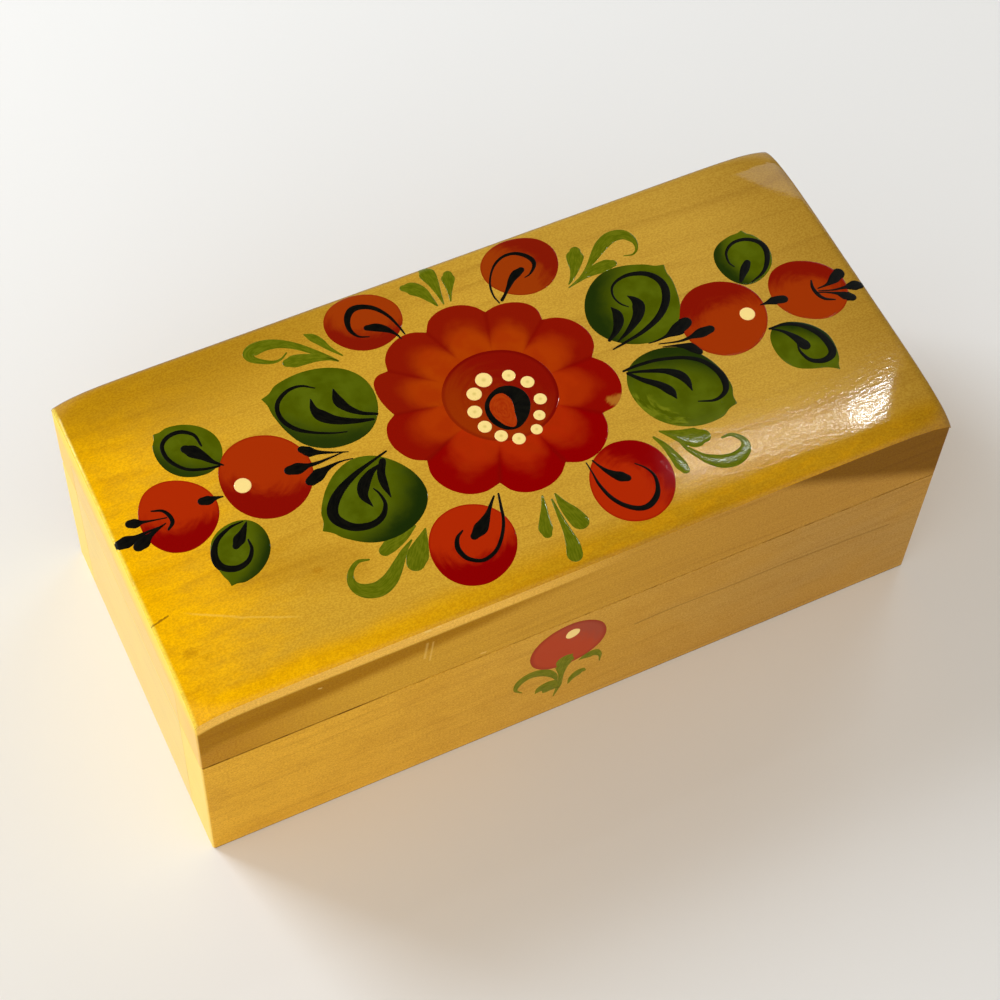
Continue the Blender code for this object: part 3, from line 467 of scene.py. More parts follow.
class Finish(Nodes):
    """A procedural material round one Principled shader."""

    def __init__(self, name, **constants):
        self.material = bpy.data.materials.new(name)
        self.material.use_nodes = True
        super().__init__(self.material.node_tree)
        self.shader = next(node for node in self.tree.nodes if node.type == "BSDF_PRINCIPLED")
        for label, value in constants.items():
            self.shader.inputs[label.replace("_", " ")].default_value = value
        place = self.node("TexCoord", output="Object")
        self.x, self.y, self.z = self.parts(place, 1 / MM)

    def attribute(self, name):
        """The three numbers of a piece's own attribute."""
        return self.parts(self.node("Attribute", {"attribute_name": name}, output="Vector"))

    def near_line(self, u, v, start, end):
        """Distance of the place (u, v) from a straight mark between two points."""
        run_u, run_v = end[0] - start[0], end[1] - start[1]
        square = run_u**2 + run_v**2
        share = (u - start[0]) * (run_u / square) + (v - start[1]) * (run_v / square)
        share = share.least(1.0).most(0.0)
        return ((u - start[0] - share * run_u) ** 2.0 + (v - start[1] - share * run_v) ** 2.0) ** 0.5

    def surface(self, colour, roughness, bump=None, depth=0.01):
        """Colour, roughness and a relief whose full height is the depth, in millimetres."""
        self.feed(self.shader.inputs["Base Color"], colour)
        self.feed(self.shader.inputs["Roughness"], roughness)
        if bump is not None:
            values = {"Strength": 1.0, "Distance": depth * MM, "Height": bump}
            self.feed(self.shader.inputs["Normal"], self.node("Bump", None, values))
        return self.material


def varnish_relief(finish):
    """Orange peel of the varnish over the wood's pores: two sizes of dimple, drawn out along the box."""
    peel = finish.noise(finish.x * 0.25, finish.y * 0.6, finish.z * 0.6, 1.0)
    pores = finish.noise(finish.x * 0.6, finish.y * 1.5, finish.z * 1.5, 1.0)
    return peel * 0.45 + pores * 0.55


class Board(Finish):
    """Wood whose fibres run along one axis, with the patterns that all boards share."""

    def __init__(self, name, along="x", shine=0.08):
        super().__init__(name, IOR=1.45, Specular_IOR_Level=shine)
        axes = {"x": self.x, "y": self.y, "z": self.z}
        run = axes.pop(along)
        over, up = axes.values()
        lean = over + run * 0.035
        self.fibres = self.noise(run * 0.035, lean * 1.5, up * 1.5, 4.0, 0.6)
        self.streaks = self.noise(run * 0.012, lean * 0.33, up * 0.33, 3.0, 0.55, 0.6)
        self.clouds = self.noise(self.x * 0.03, self.y * 0.05, self.z * 0.05, 2.0)
        self.blotch = self.noise(self.x * 0.18, self.y * 0.35, self.z * 0.35, 3.0, 0.6)
        self.mottle = self.noise(self.x * 1.7, self.y * 2.4, self.z * 2.4, 3.0, 0.7)
        drift = self.noise(run * 0.008, over * 0.04, up * 0.04, 2.0)
        year = ((over + up) / 8.0 + run / 160.0 + drift * 4.0).fraction()
        fade = self.noise(run * 0.015, over * 0.12, up * 0.12 + 5.0, 1.0).band(0.40, 0.62)
        self.rings = year**4.0 * year.band(1.0, 0.9) * fade

    def grained(self, colour, fibres=0.3, streaks=0.3, mottle=0.25, rings=0.2):
        """The colour, darker along fibres, streaks and late wood, and broken up by fine specks."""
        dark = (1.0 - self.fibres.band(0.35, 0.65)) * fibres + self.streaks.band(0.5, 0.72) * streaks
        dark = dark + self.rings * rings
        colour = self.mix(dark, colour, tint(150, 95, 30), "MULTIPLY")
        specks = self.mottle.band(0.62, 0.38) * mottle
        return self.mix(specks, colour, tint(190, 148, 70), "MULTIPLY")

    def end_grain(self, colour):
        """Cut ends: flat growth rings round a far pith, with small pores."""
        rings = self.noise(self.x * 0.1, self.y * 0.08, self.z * 1.1, 3.0, 0.6, 0.4)
        pores = self.noise(self.x * 2.0, self.y * 2.6, self.z * 2.6, 2.0)
        dark = rings.band(0.5, 0.75) * 0.12 + pores.band(0.5, 0.8) * 0.08
        return self.mix(dark, colour, tint(205, 140, 80), "MULTIPLY")

    def finished(self, colour, bare, gloss=0.3, relief=0.01):
        """Varnish where bare is 0, unvarnished wood where it is 1."""
        if bare != 0.0:
            raw = self.grained(BARE_WOOD, 0.25, 0.2, 0.2)
            colour = self.mix(bare, colour, raw)
        gloss = self.mottle * 0.03 + gloss
        roughness = gloss + bare * (0.62 - gloss)
        return self.surface(colour, roughness, varnish_relief(self), relief)


def lid_top(board):
    """Golden varnish on the top, deeper amber at the left end and along the front edge, greyer to the right
    as a painted sheen, with painted shade and a painted highlight at its edges.
    """
    x, y = board.x, board.y
    wander = (board.clouds - 0.5) * 30
    ripple = (board.blotch - 0.5) * 26
    amber = board.mix((x + wander).band(-98, 20), tint(255, 192, 2), tint(192, 144, 22))
    amber = board.mix(board.blotch.band(0.4, 0.62) * 0.3, amber, tint(222, 160, 2))
    end_amber = (x + wander + ripple).band(-52, -104)
    front_amber = (y + wander * 0.2 + ripple * 0.1).band(-37, -44)
    # Greyer to the right: a painted sheen.
    top = board.mix(x.band(-60, 90), tint(214, 167, 50), tint(202, 161, 62))
    top = board.mix(end_amber.most(front_amber), top, amber)
    behind = (y + wander * 0.3).band(20, 44) * (x + ripple).band(10, -62)
    top = board.mix(behind * 0.7, top, tint(168, 122, 10))
    stain = board.near_line(x, y, (-74.0, -16.0), (-52.0, -24.0)) + ripple * 0.35
    top = board.mix(stain.band(9.0, 2.0) * 0.3, top, tint(168, 116, 4))
    top = board.mix(x.band(62, 104) * 0.5, top, tint(140, 100, 14))
    # A darker olive strip along the right end: painted shade.
    top = board.mix(x.band(97.4, 99.7) * 0.5, top, tint(130, 100, 30))
    # A pale yellow strip along the left end: a painted highlight on the arris.
    top = board.mix(x.band(-98.9, -99.6) * 0.75, top, tint(255, 230, 84))
    # Darker towards the back edge, with a grey-brown line on the back arris: painted shade of the back roll.
    top = board.mix(y.band(32, 44) * 0.13, top, tint(140, 104, 30))
    top = board.mix(y.band(46.4, 47.3) * 0.6, top, tint(130, 112, 76))
    top = board.grained(top, 0.05, 0.08, 0.34, 0.22)
    along = x + 79.3
    wave = abs(y + 27.4 + along * 0.48 - along**2.0 * 0.0035 + (board.blotch - 0.5) * 1.6)
    wave_reach = abs(along).band(13.0, 9.0)
    top = board.mix(wave.band(0.45, 0.1) * wave_reach * 0.25, top, tint(250, 210, 100))
    crack = board.near_line(x, y, (-100.5, -21.2), (-95.4, -19.9)) + (board.mottle - 0.5) * 0.5
    top = board.mix(crack.band(0.35, 0.1) * 0.75, top, tint(120, 70, 8))
    for knot_x, knot_y, size, share in TOP_SPOTS:
        knot = board.near_line(x, y, (knot_x - 0.5, knot_y), (knot_x + 0.5, knot_y))
        knot = knot + (board.mottle - 0.5) * 1.5
        top = board.mix(knot.band(size, size * 0.1) * share, top, tint(172, 112, 4))
    return top


def lid_rail(board):
    """The lid's upright front: a pale strip along the arris painted as a highlight, a brown band under it,
    and a right end darkened by painted shade and reflection.
    """
    x, z = board.x, board.z
    ripple = (board.blotch - 0.5) * 10
    height = z + abs(x / HALF_LENGTH) ** CORNER_POWERS[0] * CORNER_DROP
    rail = board.mix(x.band(-60, 80), tint(214, 168, 56), tint(188, 144, 62))
    floor_of_band = 55.5 + (x + 97.0) * 0.1
    band = (height + ripple * 0.15 - floor_of_band).band(-2.5, 2.5)
    band = band * (height + ripple * 0.05).band(67.6, 66.2)
    rail = board.mix(band * x.band(16, -36) * 0.9, rail, tint(164, 116, 14))
    below = (height - floor_of_band).band(2.0, -2.0)
    rail = board.mix(below * x.band(-56, -100) * 0.65, rail, tint(172, 118, 24))
    # A pale strip along the arris at the left: a painted highlight.
    rail = board.mix(height.band(66.4, 67.6) * x.band(20, -30) * 0.9, rail, tint(250, 204, 96))
    # A dark triangle at the right end: painted shade and a painted dark reflection.
    painted_dark_end = (z + x * 0.52 - 99.0).band(-3.0, 3.5)
    rail = board.mix(painted_dark_end * 0.92, rail, tint(122, 82, 2))
    rail = board.grained(rail, 0.08, 0.14, 0.38, 0.06)
    for start, end, width, share in FRONT_NICKS:
        nick = board.near_line(x, z, start, end) + (board.mottle - 0.5) * 0.6
        rail = board.mix(nick.band(width, width * 0.2) * share, rail, tint(240, 208, 122))
    # Painted shade along the seam.
    return board.mix(painted_seam_shade(board), rail, tint(96, 62, 20))


def painted_seam_shade(board):
    """Share of the dark line painted as shade in the seam, clear at the left and broken further on."""
    near = abs(board.z - SEAM).band(0.5, 0.2)
    return near * (board.x.band(-44, -60) * 0.55 + board.blotch.band(0.45, 0.6) * 0.35)


def lid_coat():
    """The golden top as it shows through its clear gloss."""
    board = Board("lid_gloss_coat", shine=0.3)
    return board.finished(lid_top(board), 0.0, 0.04, RELIEF)


def lid_wood():
    """The lid's one piece: front and back rails, its cut ends with a painted highlight along their top, and
    the amber arris round the top, lighter to the left as a painted highlight.
    """
    board = Board("lid_varnished_wood", shine=0.02)
    x, y, z = board.x, board.y, board.z
    # The arris is lighter to the left: a painted highlight.
    arris = board.mix(x.band(-90, 90), tint(255, 214, 70), tint(180, 132, 30))
    face = board.mix((-y).band(47.0, 47.4), arris, lid_rail(board))
    back = board.grained(tint(200, 150, 58), 0.2, 0.3, 0.2)
    face = board.mix(y.band(47.0, 47.4), face, back)
    # The cut ends turn yellow towards the top: a painted highlight on the arris.
    cut = board.mix(z.band(60.0, 69.0), tint(246, 206, 112), tint(255, 222, 76))
    cut = board.mix(y.band(-34, -44) * z.band(70, 60) * 0.5, cut, tint(238, 192, 112))
    cut = board.mix(x.band(-10, 10), cut, tint(206, 158, 72))
    face = board.mix(abs(x).band(99.5, 99.85), face, board.end_grain(cut))
    inside = abs(x).band(99.0, 98.0) * abs(y).band(46.0, 45.0) * z.band(61.5, 61.0)
    return board.finished(face, inside)


def long_board_wood(name, front):
    """Front and back boards: fibres along the box, end grain at the cut ends, bare inside; on the front, a
    painted highlight above the foot and painted shade along the foot and in the seam.
    """
    board = Board(name, shine=0.02)
    x, y, z = board.x, board.y, board.z
    side = -1.0 if front else 1.0
    face = board.mix(x.band(-90, 90), tint(234, 184, 62), tint(186, 148, 78))
    face = board.mix(board.clouds.band(0.4, 0.7) * 0.25, face, tint(200, 148, 40))
    face = board.mix(board.blotch.band(0.55, 0.35) * 0.12, face, tint(170, 120, 30))
    face = board.grained(face, 0.07, 0.14, 0.4, 0.05)
    if front:
        line = board.near_line(x, z + (board.clouds - 0.5) * 5, (16.0, 31.0), (90.0, 28.0))
        face = board.mix(line.band(0.7, 0.1) * 0.4, face, tint(112, 78, 28))
        # A light line just above the foot: a painted highlight; a dark line at the foot: painted contact
        # shadow.
        face = board.mix(z.band(0.4, 0.9) * z.band(2.0, 1.2) * 0.1, face, tint(244, 206, 110))
        face = board.mix(z.band(0.6, 0.2) * 0.75, face, tint(86, 56, 24))
        # Painted shade along the seam.
        face = board.mix(painted_seam_shade(board), face, tint(96, 62, 20))
    cut = board.mix(x.band(-10, 10), tint(250, 218, 118), tint(206, 158, 72))
    ends = abs(x).band(99.5, 99.85)
    face = board.mix(ends, face, board.end_grain(cut))
    bare = (y * side).band(47.15, 46.9) * (1.0 - ends)
    return board.finished(face, bare)


def end_board_wood(name, colour, side):
    """End boards and panels: pale peach wood whose fibres run across the end."""
    board = Board(name, "y")
    face = board.mix(board.clouds.band(0.35, 0.7) * 0.2, colour, tint(236, 196, 120))
    face = board.grained(face, 0.05, 0.06, 0.12, 0.06)
    return board.finished(face, (board.x * side).band(99.0, 98.0))


def bottom_wood():
    """The bottom board, unvarnished on both sides."""
    return Board("bottom_bare_wood").finished(BARE_WOOD, 1.0)


def hinge_brass():
    """Drawn brass: brushed along the hinge, browned in clouds and a little rubbed."""
    brass = Finish("hinge_brass", Metallic=1.0)
    brushed = brass.noise(brass.x * 0.4, brass.y * 9.0, brass.z * 9.0, 2.0)
    tarnish = brass.noise(brass.x * 0.35, brass.y * 0.35, brass.z * 0.35, 3.0, 0.6)
    colour = brass.mix(tarnish.band(0.4, 0.7), tint(222, 184, 104), tint(168, 124, 62))
    roughness = 0.24 + brushed * 0.14 + tarnish * 0.12
    return brass.surface(colour, roughness, brushed)


class Paint(Finish):
    """Brush paint under the varnish: brush places its hair marks, and shade the painter's blending."""

    def __init__(self, name, shine=0.2):
        super().__init__(name, IOR=1.45, Specular_IOR_Level=shine)
        self.brush = self.attribute("brush")
        self.shade = self.attribute("shade")

    def hairs(self, *scales):
        """Hair marks of the brush, between 0 and 1."""
        first, second, third = (place * scale for place, scale in zip(self.brush, scales))
        return self.noise(first, second, third, 3.0, 0.6)

    def varnished(self, colour, roughness=0.05):
        """The paint under the same orange peel as the wood beside it."""
        return self.surface(colour, roughness, varnish_relief(self), PAINT_RELIEF)


def petal_paint():
    """Orange patches blended inside each petal's red rim, merging into a ring round the heart."""
    paint = Paint("petal_red")
    reach, swell, tone = paint.shade
    hairs = paint.hairs(0.7, 1.0, 0.25)
    cloud = paint.noise(paint.x * 0.16, paint.y * 0.16, 0.0, 2.0)
    edge = 0.63 + swell**0.55 * 0.13 + (cloud - 0.5) * 0.24
    patch = (edge - reach + (hairs - 0.5) * 0.08).band(-0.13, 0.13)
    rim = paint.mix(tone, tint(136, 24, 4), tint(140, 0, 1))
    orange = paint.mix(tone, tint(170, 61, 2), tint(172, 39, 4))
    orange = paint.mix(cloud.band(0.4, 0.65) * 0.5, orange, tint(160, 40, 3))
    colour = paint.mix(patch, rim, orange)
    notch = swell.band(0.22, 0.0) * reach.band(0.55, 0.85) * 0.5
    colour = paint.mix(notch, colour, tint(122, 8, 2))
    chip = paint.near_line(paint.x, paint.y, (25.6, -8.6), (28.0, -9.0))
    chip = chip + (cloud - 0.5) * 3 + (hairs - 0.5) * 3
    return paint.varnished(paint.mix(chip.band(2.0, 0.9) * 0.85, colour, tint(176, 112, 34)))


def fruit_paint():
    """Round strokes of orange blended into a dark red side."""
    paint = Paint("berry_red")
    side, ring, tone = paint.shade
    hairs = paint.hairs(1.4, 1.4, 0.9)
    cloud = paint.noise(paint.x * 0.22, paint.y * 0.22, 0.0, 2.0)
    dark = (side * 0.75 + ring * 0.42 + (hairs - 0.5) * 0.5 + (cloud - 0.5) * 0.5).band(0.18, 0.70)
    orange = paint.mix(tone, tint(152, 55, 6), tint(174, 40, 4))
    red = paint.mix(tone, tint(130, 24, 5), tint(136, 1, 2))
    colour = paint.mix(dark, orange, red)
    return paint.varnished(paint.mix(ring.band(0.93, 0.99) * 0.5, colour, red))


def disc_paint():
    """Dark red heart with a thin darker line at its rim, browner towards the lower left."""
    paint = Paint("heart_red")
    side, ring, _ = paint.shade
    hairs = paint.hairs(1.2, 1.2, 0.8)
    colour = paint.mix((side * 0.8 + (hairs - 0.5)).band(-0.7, 0.5), tint(150, 48, 3), tint(133, 15, 4))
    line = ring.band(0.90, 0.955) * side.band(-0.9, 0.2).most(0.45)
    return paint.varnished(paint.mix(line, colour, tint(122, 10, 3)))


def leaf_paint():
    """Fresh green blended into blue-black green on the leaf's shaded side."""
    paint = Paint("leaf_green")
    side, ring, tone = paint.shade
    hairs = paint.hairs(1.6, 1.6, 0.5)
    cloud = paint.noise(paint.x * 0.2, paint.y * 0.2, 0.0, 2.0)
    dark = (side * 0.66 + ring * 0.5 + (hairs - 0.5) * 0.25 + (cloud - 0.5) * 0.4).band(0.30, 1.0)
    light = paint.mix((hairs * 0.3 + cloud * 0.7).band(0.35, 0.65), tint(74, 84, 1), tint(86, 98, 9))
    deep = paint.mix(tone, tint(46, 60, 8), tint(26, 42, 6))
    thin = paint.near_line(paint.x, paint.y, (31.5, -11.0), (38.5, -20.5)) + (cloud - 0.5) * 14
    light = paint.mix(thin.band(3.0, 0.5) * hairs.band(0.42, 0.55) * 0.35, light, tint(150, 156, 34))
    return paint.varnished(paint.mix(dark, light, deep))


def streaked_paint(name, thick, thin, scales=(0.5, 2.5, 0.2), low=0.35, shine=0.2, roughness=0.05):
    """One colour, from where the brush's hairs left it thick to where they left it thin."""
    paint = Paint(name, shine)
    hairs = paint.hairs(*scales)
    return paint.varnished(paint.mix(hairs.band(low, 1 - low), thick, thin), roughness)


def sprig_paint():
    """Olive green of the small sprigs."""
    return streaked_paint("sprig_olive", tint(86, 96, 4), tint(106, 112, 14), shine=0.35)


def black_paint():
    """Black of the fine lines, duller than the rest."""
    thick, thin = tint(5, 5, 4), tint(17, 16, 9)
    return streaked_paint("line_black", thick, thin, (0.4, 3.0, 0.2), 0.3, 0.08, 0.3)


def tear_paint():
    """Orange tear in the flower's black eye."""
    return streaked_paint("tear_orange", tint(160, 44, 5), tint(172, 58, 10), (1.2, 1.2, 1.5))


def cream_paint():
    """Dabs of cream, thin and pinkish at the rim, with a faint olive print of the stick in the middle."""
    paint = Paint("dot_cream")
    _, ring, tone = paint.shade
    colour = paint.mix(ring.band(0.82, 1.0), tint(248, 220, 138), tint(232, 168, 110))
    return paint.varnished(paint.mix(ring.band(0.4, 0.0) * tone * 0.5, colour, tint(190, 168, 72)))


def front_berry_paint():
    """Thin rose-brown wash, purplish to the upper right, with a darker rim."""
    paint = Paint("small_berry_rose", 0.03)
    side, ring, _ = paint.shade
    hairs = paint.hairs(1.4, 1.4, 0.7)
    colour = paint.mix((side + (hairs - 0.5)).band(0.1, 0.8), tint(176, 66, 36), tint(158, 70, 50))
    return paint.varnished(paint.mix(ring.band(0.84, 0.98) * 0.7, colour, tint(146, 48, 26)))


def front_leaf_paint():
    """Thin olive green of the berry's small leaves."""
    return streaked_paint("small_leaf_green", tint(100, 108, 6), tint(124, 124, 24), shine=0.03)


# Films of paint
def spline(points, closed=False, steps=6):
    """Smooth curve through the points: a cubic on each span, sloped at its ends like the chord over them."""
    points = np.asarray(points, float)
    if closed:
        before, after, beyond = np.roll(points, 1, 0), np.roll(points, -1, 0), np.roll(points, -2, 0)
        start = points
    else:
        ends = np.vstack([2 * points[0] - points[1], points, 2 * points[-1] - points[-2]])
        before, start, after, beyond = ends[:-3], ends[1:-2], ends[2:-1], ends[3:]
    before, start, after, beyond = (row[:, None, :] for row in (before, start, after, beyond))
    t = (np.arange(steps) / steps)[None, :, None]
    linear = (after - before) * t
    square = (2 * before - 5 * start + 4 * after - beyond) * t**2
    cube = (3 * start - before - 3 * after + beyond) * t**3
    curve = (start + (linear + square + cube) / 2).reshape(-1, points.shape[1])
    return curve if closed else np.vstack([curve, points[-1:]])


def rolled(inset, width, drop):
    """Drop of a quarter ellipse at an inset from its upright side."""
    share = np.clip(1 - inset / width, 0, 1)
    return drop * (1 - np.sqrt(1 - share**2))


def lid_height(x, y):
    """Height of the lid's top: level, less the rolls along the sides and ends and the fall of the corners."""
    roll = rolled(HALF_DEPTH - abs(y), ROLL_WIDTH, ROLL_DROP)
    end = rolled(HALF_LENGTH - abs(x), END_RADIUS, END_RADIUS)
    along, across = CORNER_POWERS
    corner = CORNER_DROP * abs(x / HALF_LENGTH) ** along * abs(y / HALF_DEPTH) ** across
    return TOP - roll - end - corner


def on_lid(x, y, lift):
    """Points over a place on the lid's gloss coat, kept a margin off its edges."""
    x = np.clip(x, PAINT_MARGIN - HALF_LENGTH, HALF_LENGTH - PAINT_MARGIN)
    y = np.clip(y, PAINT_MARGIN - HALF_DEPTH, HALF_DEPTH - PAINT_MARGIN)
    return np.stack([x, y, lid_height(x, y) + COAT + lift], -1)


def on_front(x, z, lift):
    """Points in front of a place on the front board."""
    return np.stack([x, -HALF_DEPTH - lift, z], -1)


def edge_height(inward, film):
    """Height of a film inward of its outline: a quarter sine up from below the wood, with a low bead."""
    rise = np.sin(np.clip(inward / PAINT_EDGE, 0, 1) * math.pi / 2)
    bead = PAINT_BEAD * np.exp(-(((inward - BEAD_PLACE) / BEAD_SPREAD) ** 2))
    return -PAINT_SINK + (film + PAINT_SINK) * rise + film * bead * rise


def skin(grid, first_pole, last_pole):
    """Vertices and faces of a closed surface: rows of closed rings, with a fan to a pole at both ends."""
    rows, columns = grid.shape[:2]
    vertices = np.vstack([grid.reshape(-1, 3), first_pole, last_pole])
    index = np.arange(rows * columns).reshape(rows, columns)
    turned = np.roll(index, -1, 1)
    quads = np.stack([index[:-1], index[1:], turned[1:], turned[:-1]], -1).reshape(-1, 4)
    first = np.full(columns, rows * columns)
    top_fan = np.stack([first, index[0], turned[0]], -1)
    last_fan = np.stack([index[-1], first + 1, turned[-1]], -1)
    return vertices, quads, np.vstack([top_fan, last_fan])


def film_rings(outline, centre, film, place):
    """Rings scaled from an outline towards its middle, over the top and back to a pole below the wood."""
    spokes = outline - centre
    radius = np.linalg.norm(spokes, axis=1).mean()
    edge = np.array(RIM_SHARES) * BEAD_PLACE / radius
    rings = np.concatenate([RING_SHARES, 1 - edge])
    rings = np.unique(np.round(rings[rings > 0], 5))
    flat = centre + spokes[None] * rings[:, None, None]
    lift = np.broadcast_to(edge_height((1 - rings) * radius, film)[:, None], flat.shape[:2])
    grid = place(flat[..., 0], flat[..., 1], lift)
    poles = [place(centre[:1], centre[1:], np.array([height])) for height in (film, -PAINT_DEPTH)]
    return skin(grid, *poles), flat, rings[:, None] + np.zeros(len(outline)), radius


def turned_left(outline):
    """Area inside an outline, above 0 where it runs anticlockwise."""
    forward = np.roll(outline, -1, 0)
    return np.sum(outline[:, 0] * forward[:, 1] - outline[:, 1] * forward[:, 0]) / 2


def film_blob(outline, film, place, toward=(0, -1), tone=1.0):
    """A filled round or leaf.

    brush is the direction from the middle and the distance from it; shade is how far the place lies
    towards the darker side, the ring's share of the radius, and the tone.
    """
    outline = np.asarray(outline, float)
    outline = outline if turned_left(outline) > 0 else outline[::-1]
    centre = outline.mean(0)
    surface, flat, ring, radius = film_rings(outline, centre, film, place)
    spokes = outline - centre
    directions = (spokes / np.linalg.norm(spokes, axis=1)[:, None]).T
    toward = np.asarray(toward, float) / np.linalg.norm(toward)
    side = (flat - centre) @ toward / radius
    brush = [*(np.broadcast_to(direction, side.shape) for direction in directions), ring * radius]
    return surface, marked(brush, [side, ring, tone + 0 * side], tone)


def film_flower(rims, tones, root, film):
    """The whole flower as one film, so that no wall stands between its petals.

    brush is the place along the petal, its number and the place across it; shade is the share of the way
    to the rim, how far from the notches the ray runs, and the tone.
    """
    rims = [spline(rim)[:-1] for rim in rims]
    sizes = [len(rim) for rim in rims]
    outline = np.vstack(rims)
    across = np.concatenate([np.arange(size) / size for size in sizes])
    number = np.repeat(np.arange(len(rims)), sizes)
    tone = np.repeat(np.array(tones), sizes)
    if turned_left(outline) < 0:
        outline, across, number, tone = outline[::-1], across[::-1], number[::-1], tone[::-1]
    surface, _, ring, radius = film_rings(outline, np.asarray(root, float), film, on_lid)
    brush = [ring * radius, number * PETAL_MARKS_APART + 0 * ring, across * radius / 2 + 0 * ring]
    return surface, marked(brush, [ring, np.sin(math.pi * across) + 0 * ring, tone + 0 * ring], tones[0])


def marked(brush, shade, tone):
    """The brush and shade rows of a film's rings, followed by those of its two poles."""
    middle = np.array([[0, 0, tone]] * 2)
    rows = [np.stack(values, -1).reshape(-1, 3) for values in (brush, shade)]
    return np.vstack([rows[0], 0 * middle]), np.vstack([rows[1], middle])


def film_stroke(path, film, place):
    """A brush stroke: a low dome as wide as the brush was pressed, carried along the path, with round ends.

    brush is the place along and across the stroke; shade is the share across, the share along, and 1.
    """
    line = spline(path)
    middle, width = line[:, :2], np.maximum(line[:, 2], BRUSH_LEAST) * BRUSH_SPREAD + BRUSH_LEAST
    step = np.gradient(middle, axis=0)
    ahead = step / np.linalg.norm(step, axis=1)[:, None]
    turn = np.radians(STROKE_END_TURNS)[:, None]
    start = middle[0] - ahead[0] * np.sin(turn) * width[0] / 2
    finish = middle[-1] + ahead[-1] * np.sin(turn[::-1]) * width[-1] / 2
    rows = np.vstack([start, middle, finish])
    ahead_rows = np.vstack([ahead[[0] * len(turn)], ahead, ahead[[-1] * len(turn)]])
    half = np.concatenate([np.cos(turn[:, 0]) * width[0], width, np.cos(turn[::-1, 0]) * width[-1]]) / 2
    left = np.stack([-ahead_rows[:, 1], ahead_rows[:, 0]], -1)
    across = np.array(STROKE_ACROSS)
    flat = rows[:, None] + left[:, None] * (across[None, :, None] * half[:, None, None])
    dome = np.sqrt(1 - abs(across) ** 3)
    lift = (film + PAINT_FLUSH) * dome[None] - PAINT_FLUSH + 0 * half[:, None]
    lift[:, -1] = -PAINT_DEPTH
    grid = place(flat[..., 0], flat[..., 1], lift)
    tips = middle[0] - ahead[0] * width[0] / 2, middle[-1] + ahead[-1] * width[-1] / 2
    poles = [place(tip[:1], tip[1:], np.array([-PAINT_FLUSH])) for tip in tips]
    length = np.concatenate([[0], np.cumsum(np.linalg.norm(np.diff(rows, axis=0), axis=1))])
    brush = [length[:, None] + 0 * lift, across * half[:, None], 0 * lift + len(path)]
    share = (length / length[-1])[:, None]
    return skin(grid, *poles), marked(brush, [across + 0 * lift, share + 0 * lift, 1 + 0 * lift], 0.0)


def paint_piece(name, films, body, finish):
    """One piece from several closed films, with their brush and shade attributes."""
    vertices, faces, brush, shade = [], [], [], []
    start = 0
    for (points, quads, triangles), (brush_rows, shade_rows) in films:
        vertices.append(points * MM)
        faces += (quads + start).tolist() + (triangles + start).tolist()
        brush.append(brush_rows)
        shade.append(shade_rows)
        start += len(points)
    mesh = bpy.data.meshes.new(name)
    mesh.from_pydata(np.vstack(vertices).tolist(), [], faces)
    for label, rows in (("brush", brush), ("shade", shade)):
        layer = mesh.attributes.new(label, "FLOAT_VECTOR", "POINT")
        layer.data.foreach_set("vector", np.vstack(rows).astype(np.float32).ravel())
    mesh.polygons.foreach_set("use_smooth", np.ones(len(mesh.polygons), bool))
    mesh.update()
    mesh.materials.append(finish)
    piece = bpy.data.objects.new(name, mesh)
    bpy.context.scene.collection.objects.link(piece)
    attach(piece, body)


def settled(points):
    """Places given on the level of the top, moved along the line of sight to where the rolled wood lies."""
    points = np.array(points, float)
    eye = np.array(CAMERA_PLACE)
    flat = points[:, :2].copy()
    for _ in range(SETTLING_ROUNDS):
        inside = np.clip(points[:, :2], (-HALF_LENGTH, -HALF_DEPTH), (HALF_LENGTH, HALF_DEPTH))
        share = (eye[2] - lid_height(inside[:, 0], inside[:, 1])) / (eye[2] - TOP)
        points[:, :2] = eye[:2] + (flat - eye[:2]) * share[:, None]
    return points


def circle(x, y, radius):
    """Ring of points round a dab of the stick."""
    turn = np.linspace(0, 2 * math.pi, DAB_POINTS, endpoint=False)
    return np.stack([x + radius * np.cos(turn), y + radius * np.sin(turn)], -1)


def berry_outline(points):
    """Smooth closed outline of a berry, which may reach the roll of the lid's edge."""
    return spline(settled(points), True)


def leaf_outline(points):
    """Outline with one sharp tip, drawn out a little, at its first point."""
    points = np.asarray(points, float)
    middle = points.mean(0)
    tip = middle + (points[0] - middle) * LEAF_TIP
    beside = points[0] * LEAF_TIP_PULL + points[[1, -1]] * (1 - LEAF_TIP_PULL)
    first, last = middle + (beside - middle) * LEAF_TIP_SIDES
    return spline([tip, first, *points[1:], last, tip])[:-1]


def graded(half, insets, step):
    """Places from one side to the other: close together near the sides, then evenly spaced."""
    insets = np.array(insets)
    middle = np.linspace(-half + insets[-1], half - insets[-1], round(2 * (half - insets[-1]) / step) + 1)
    return np.concatenate([-half + insets[:-1], middle, half - insets[-2::-1]])


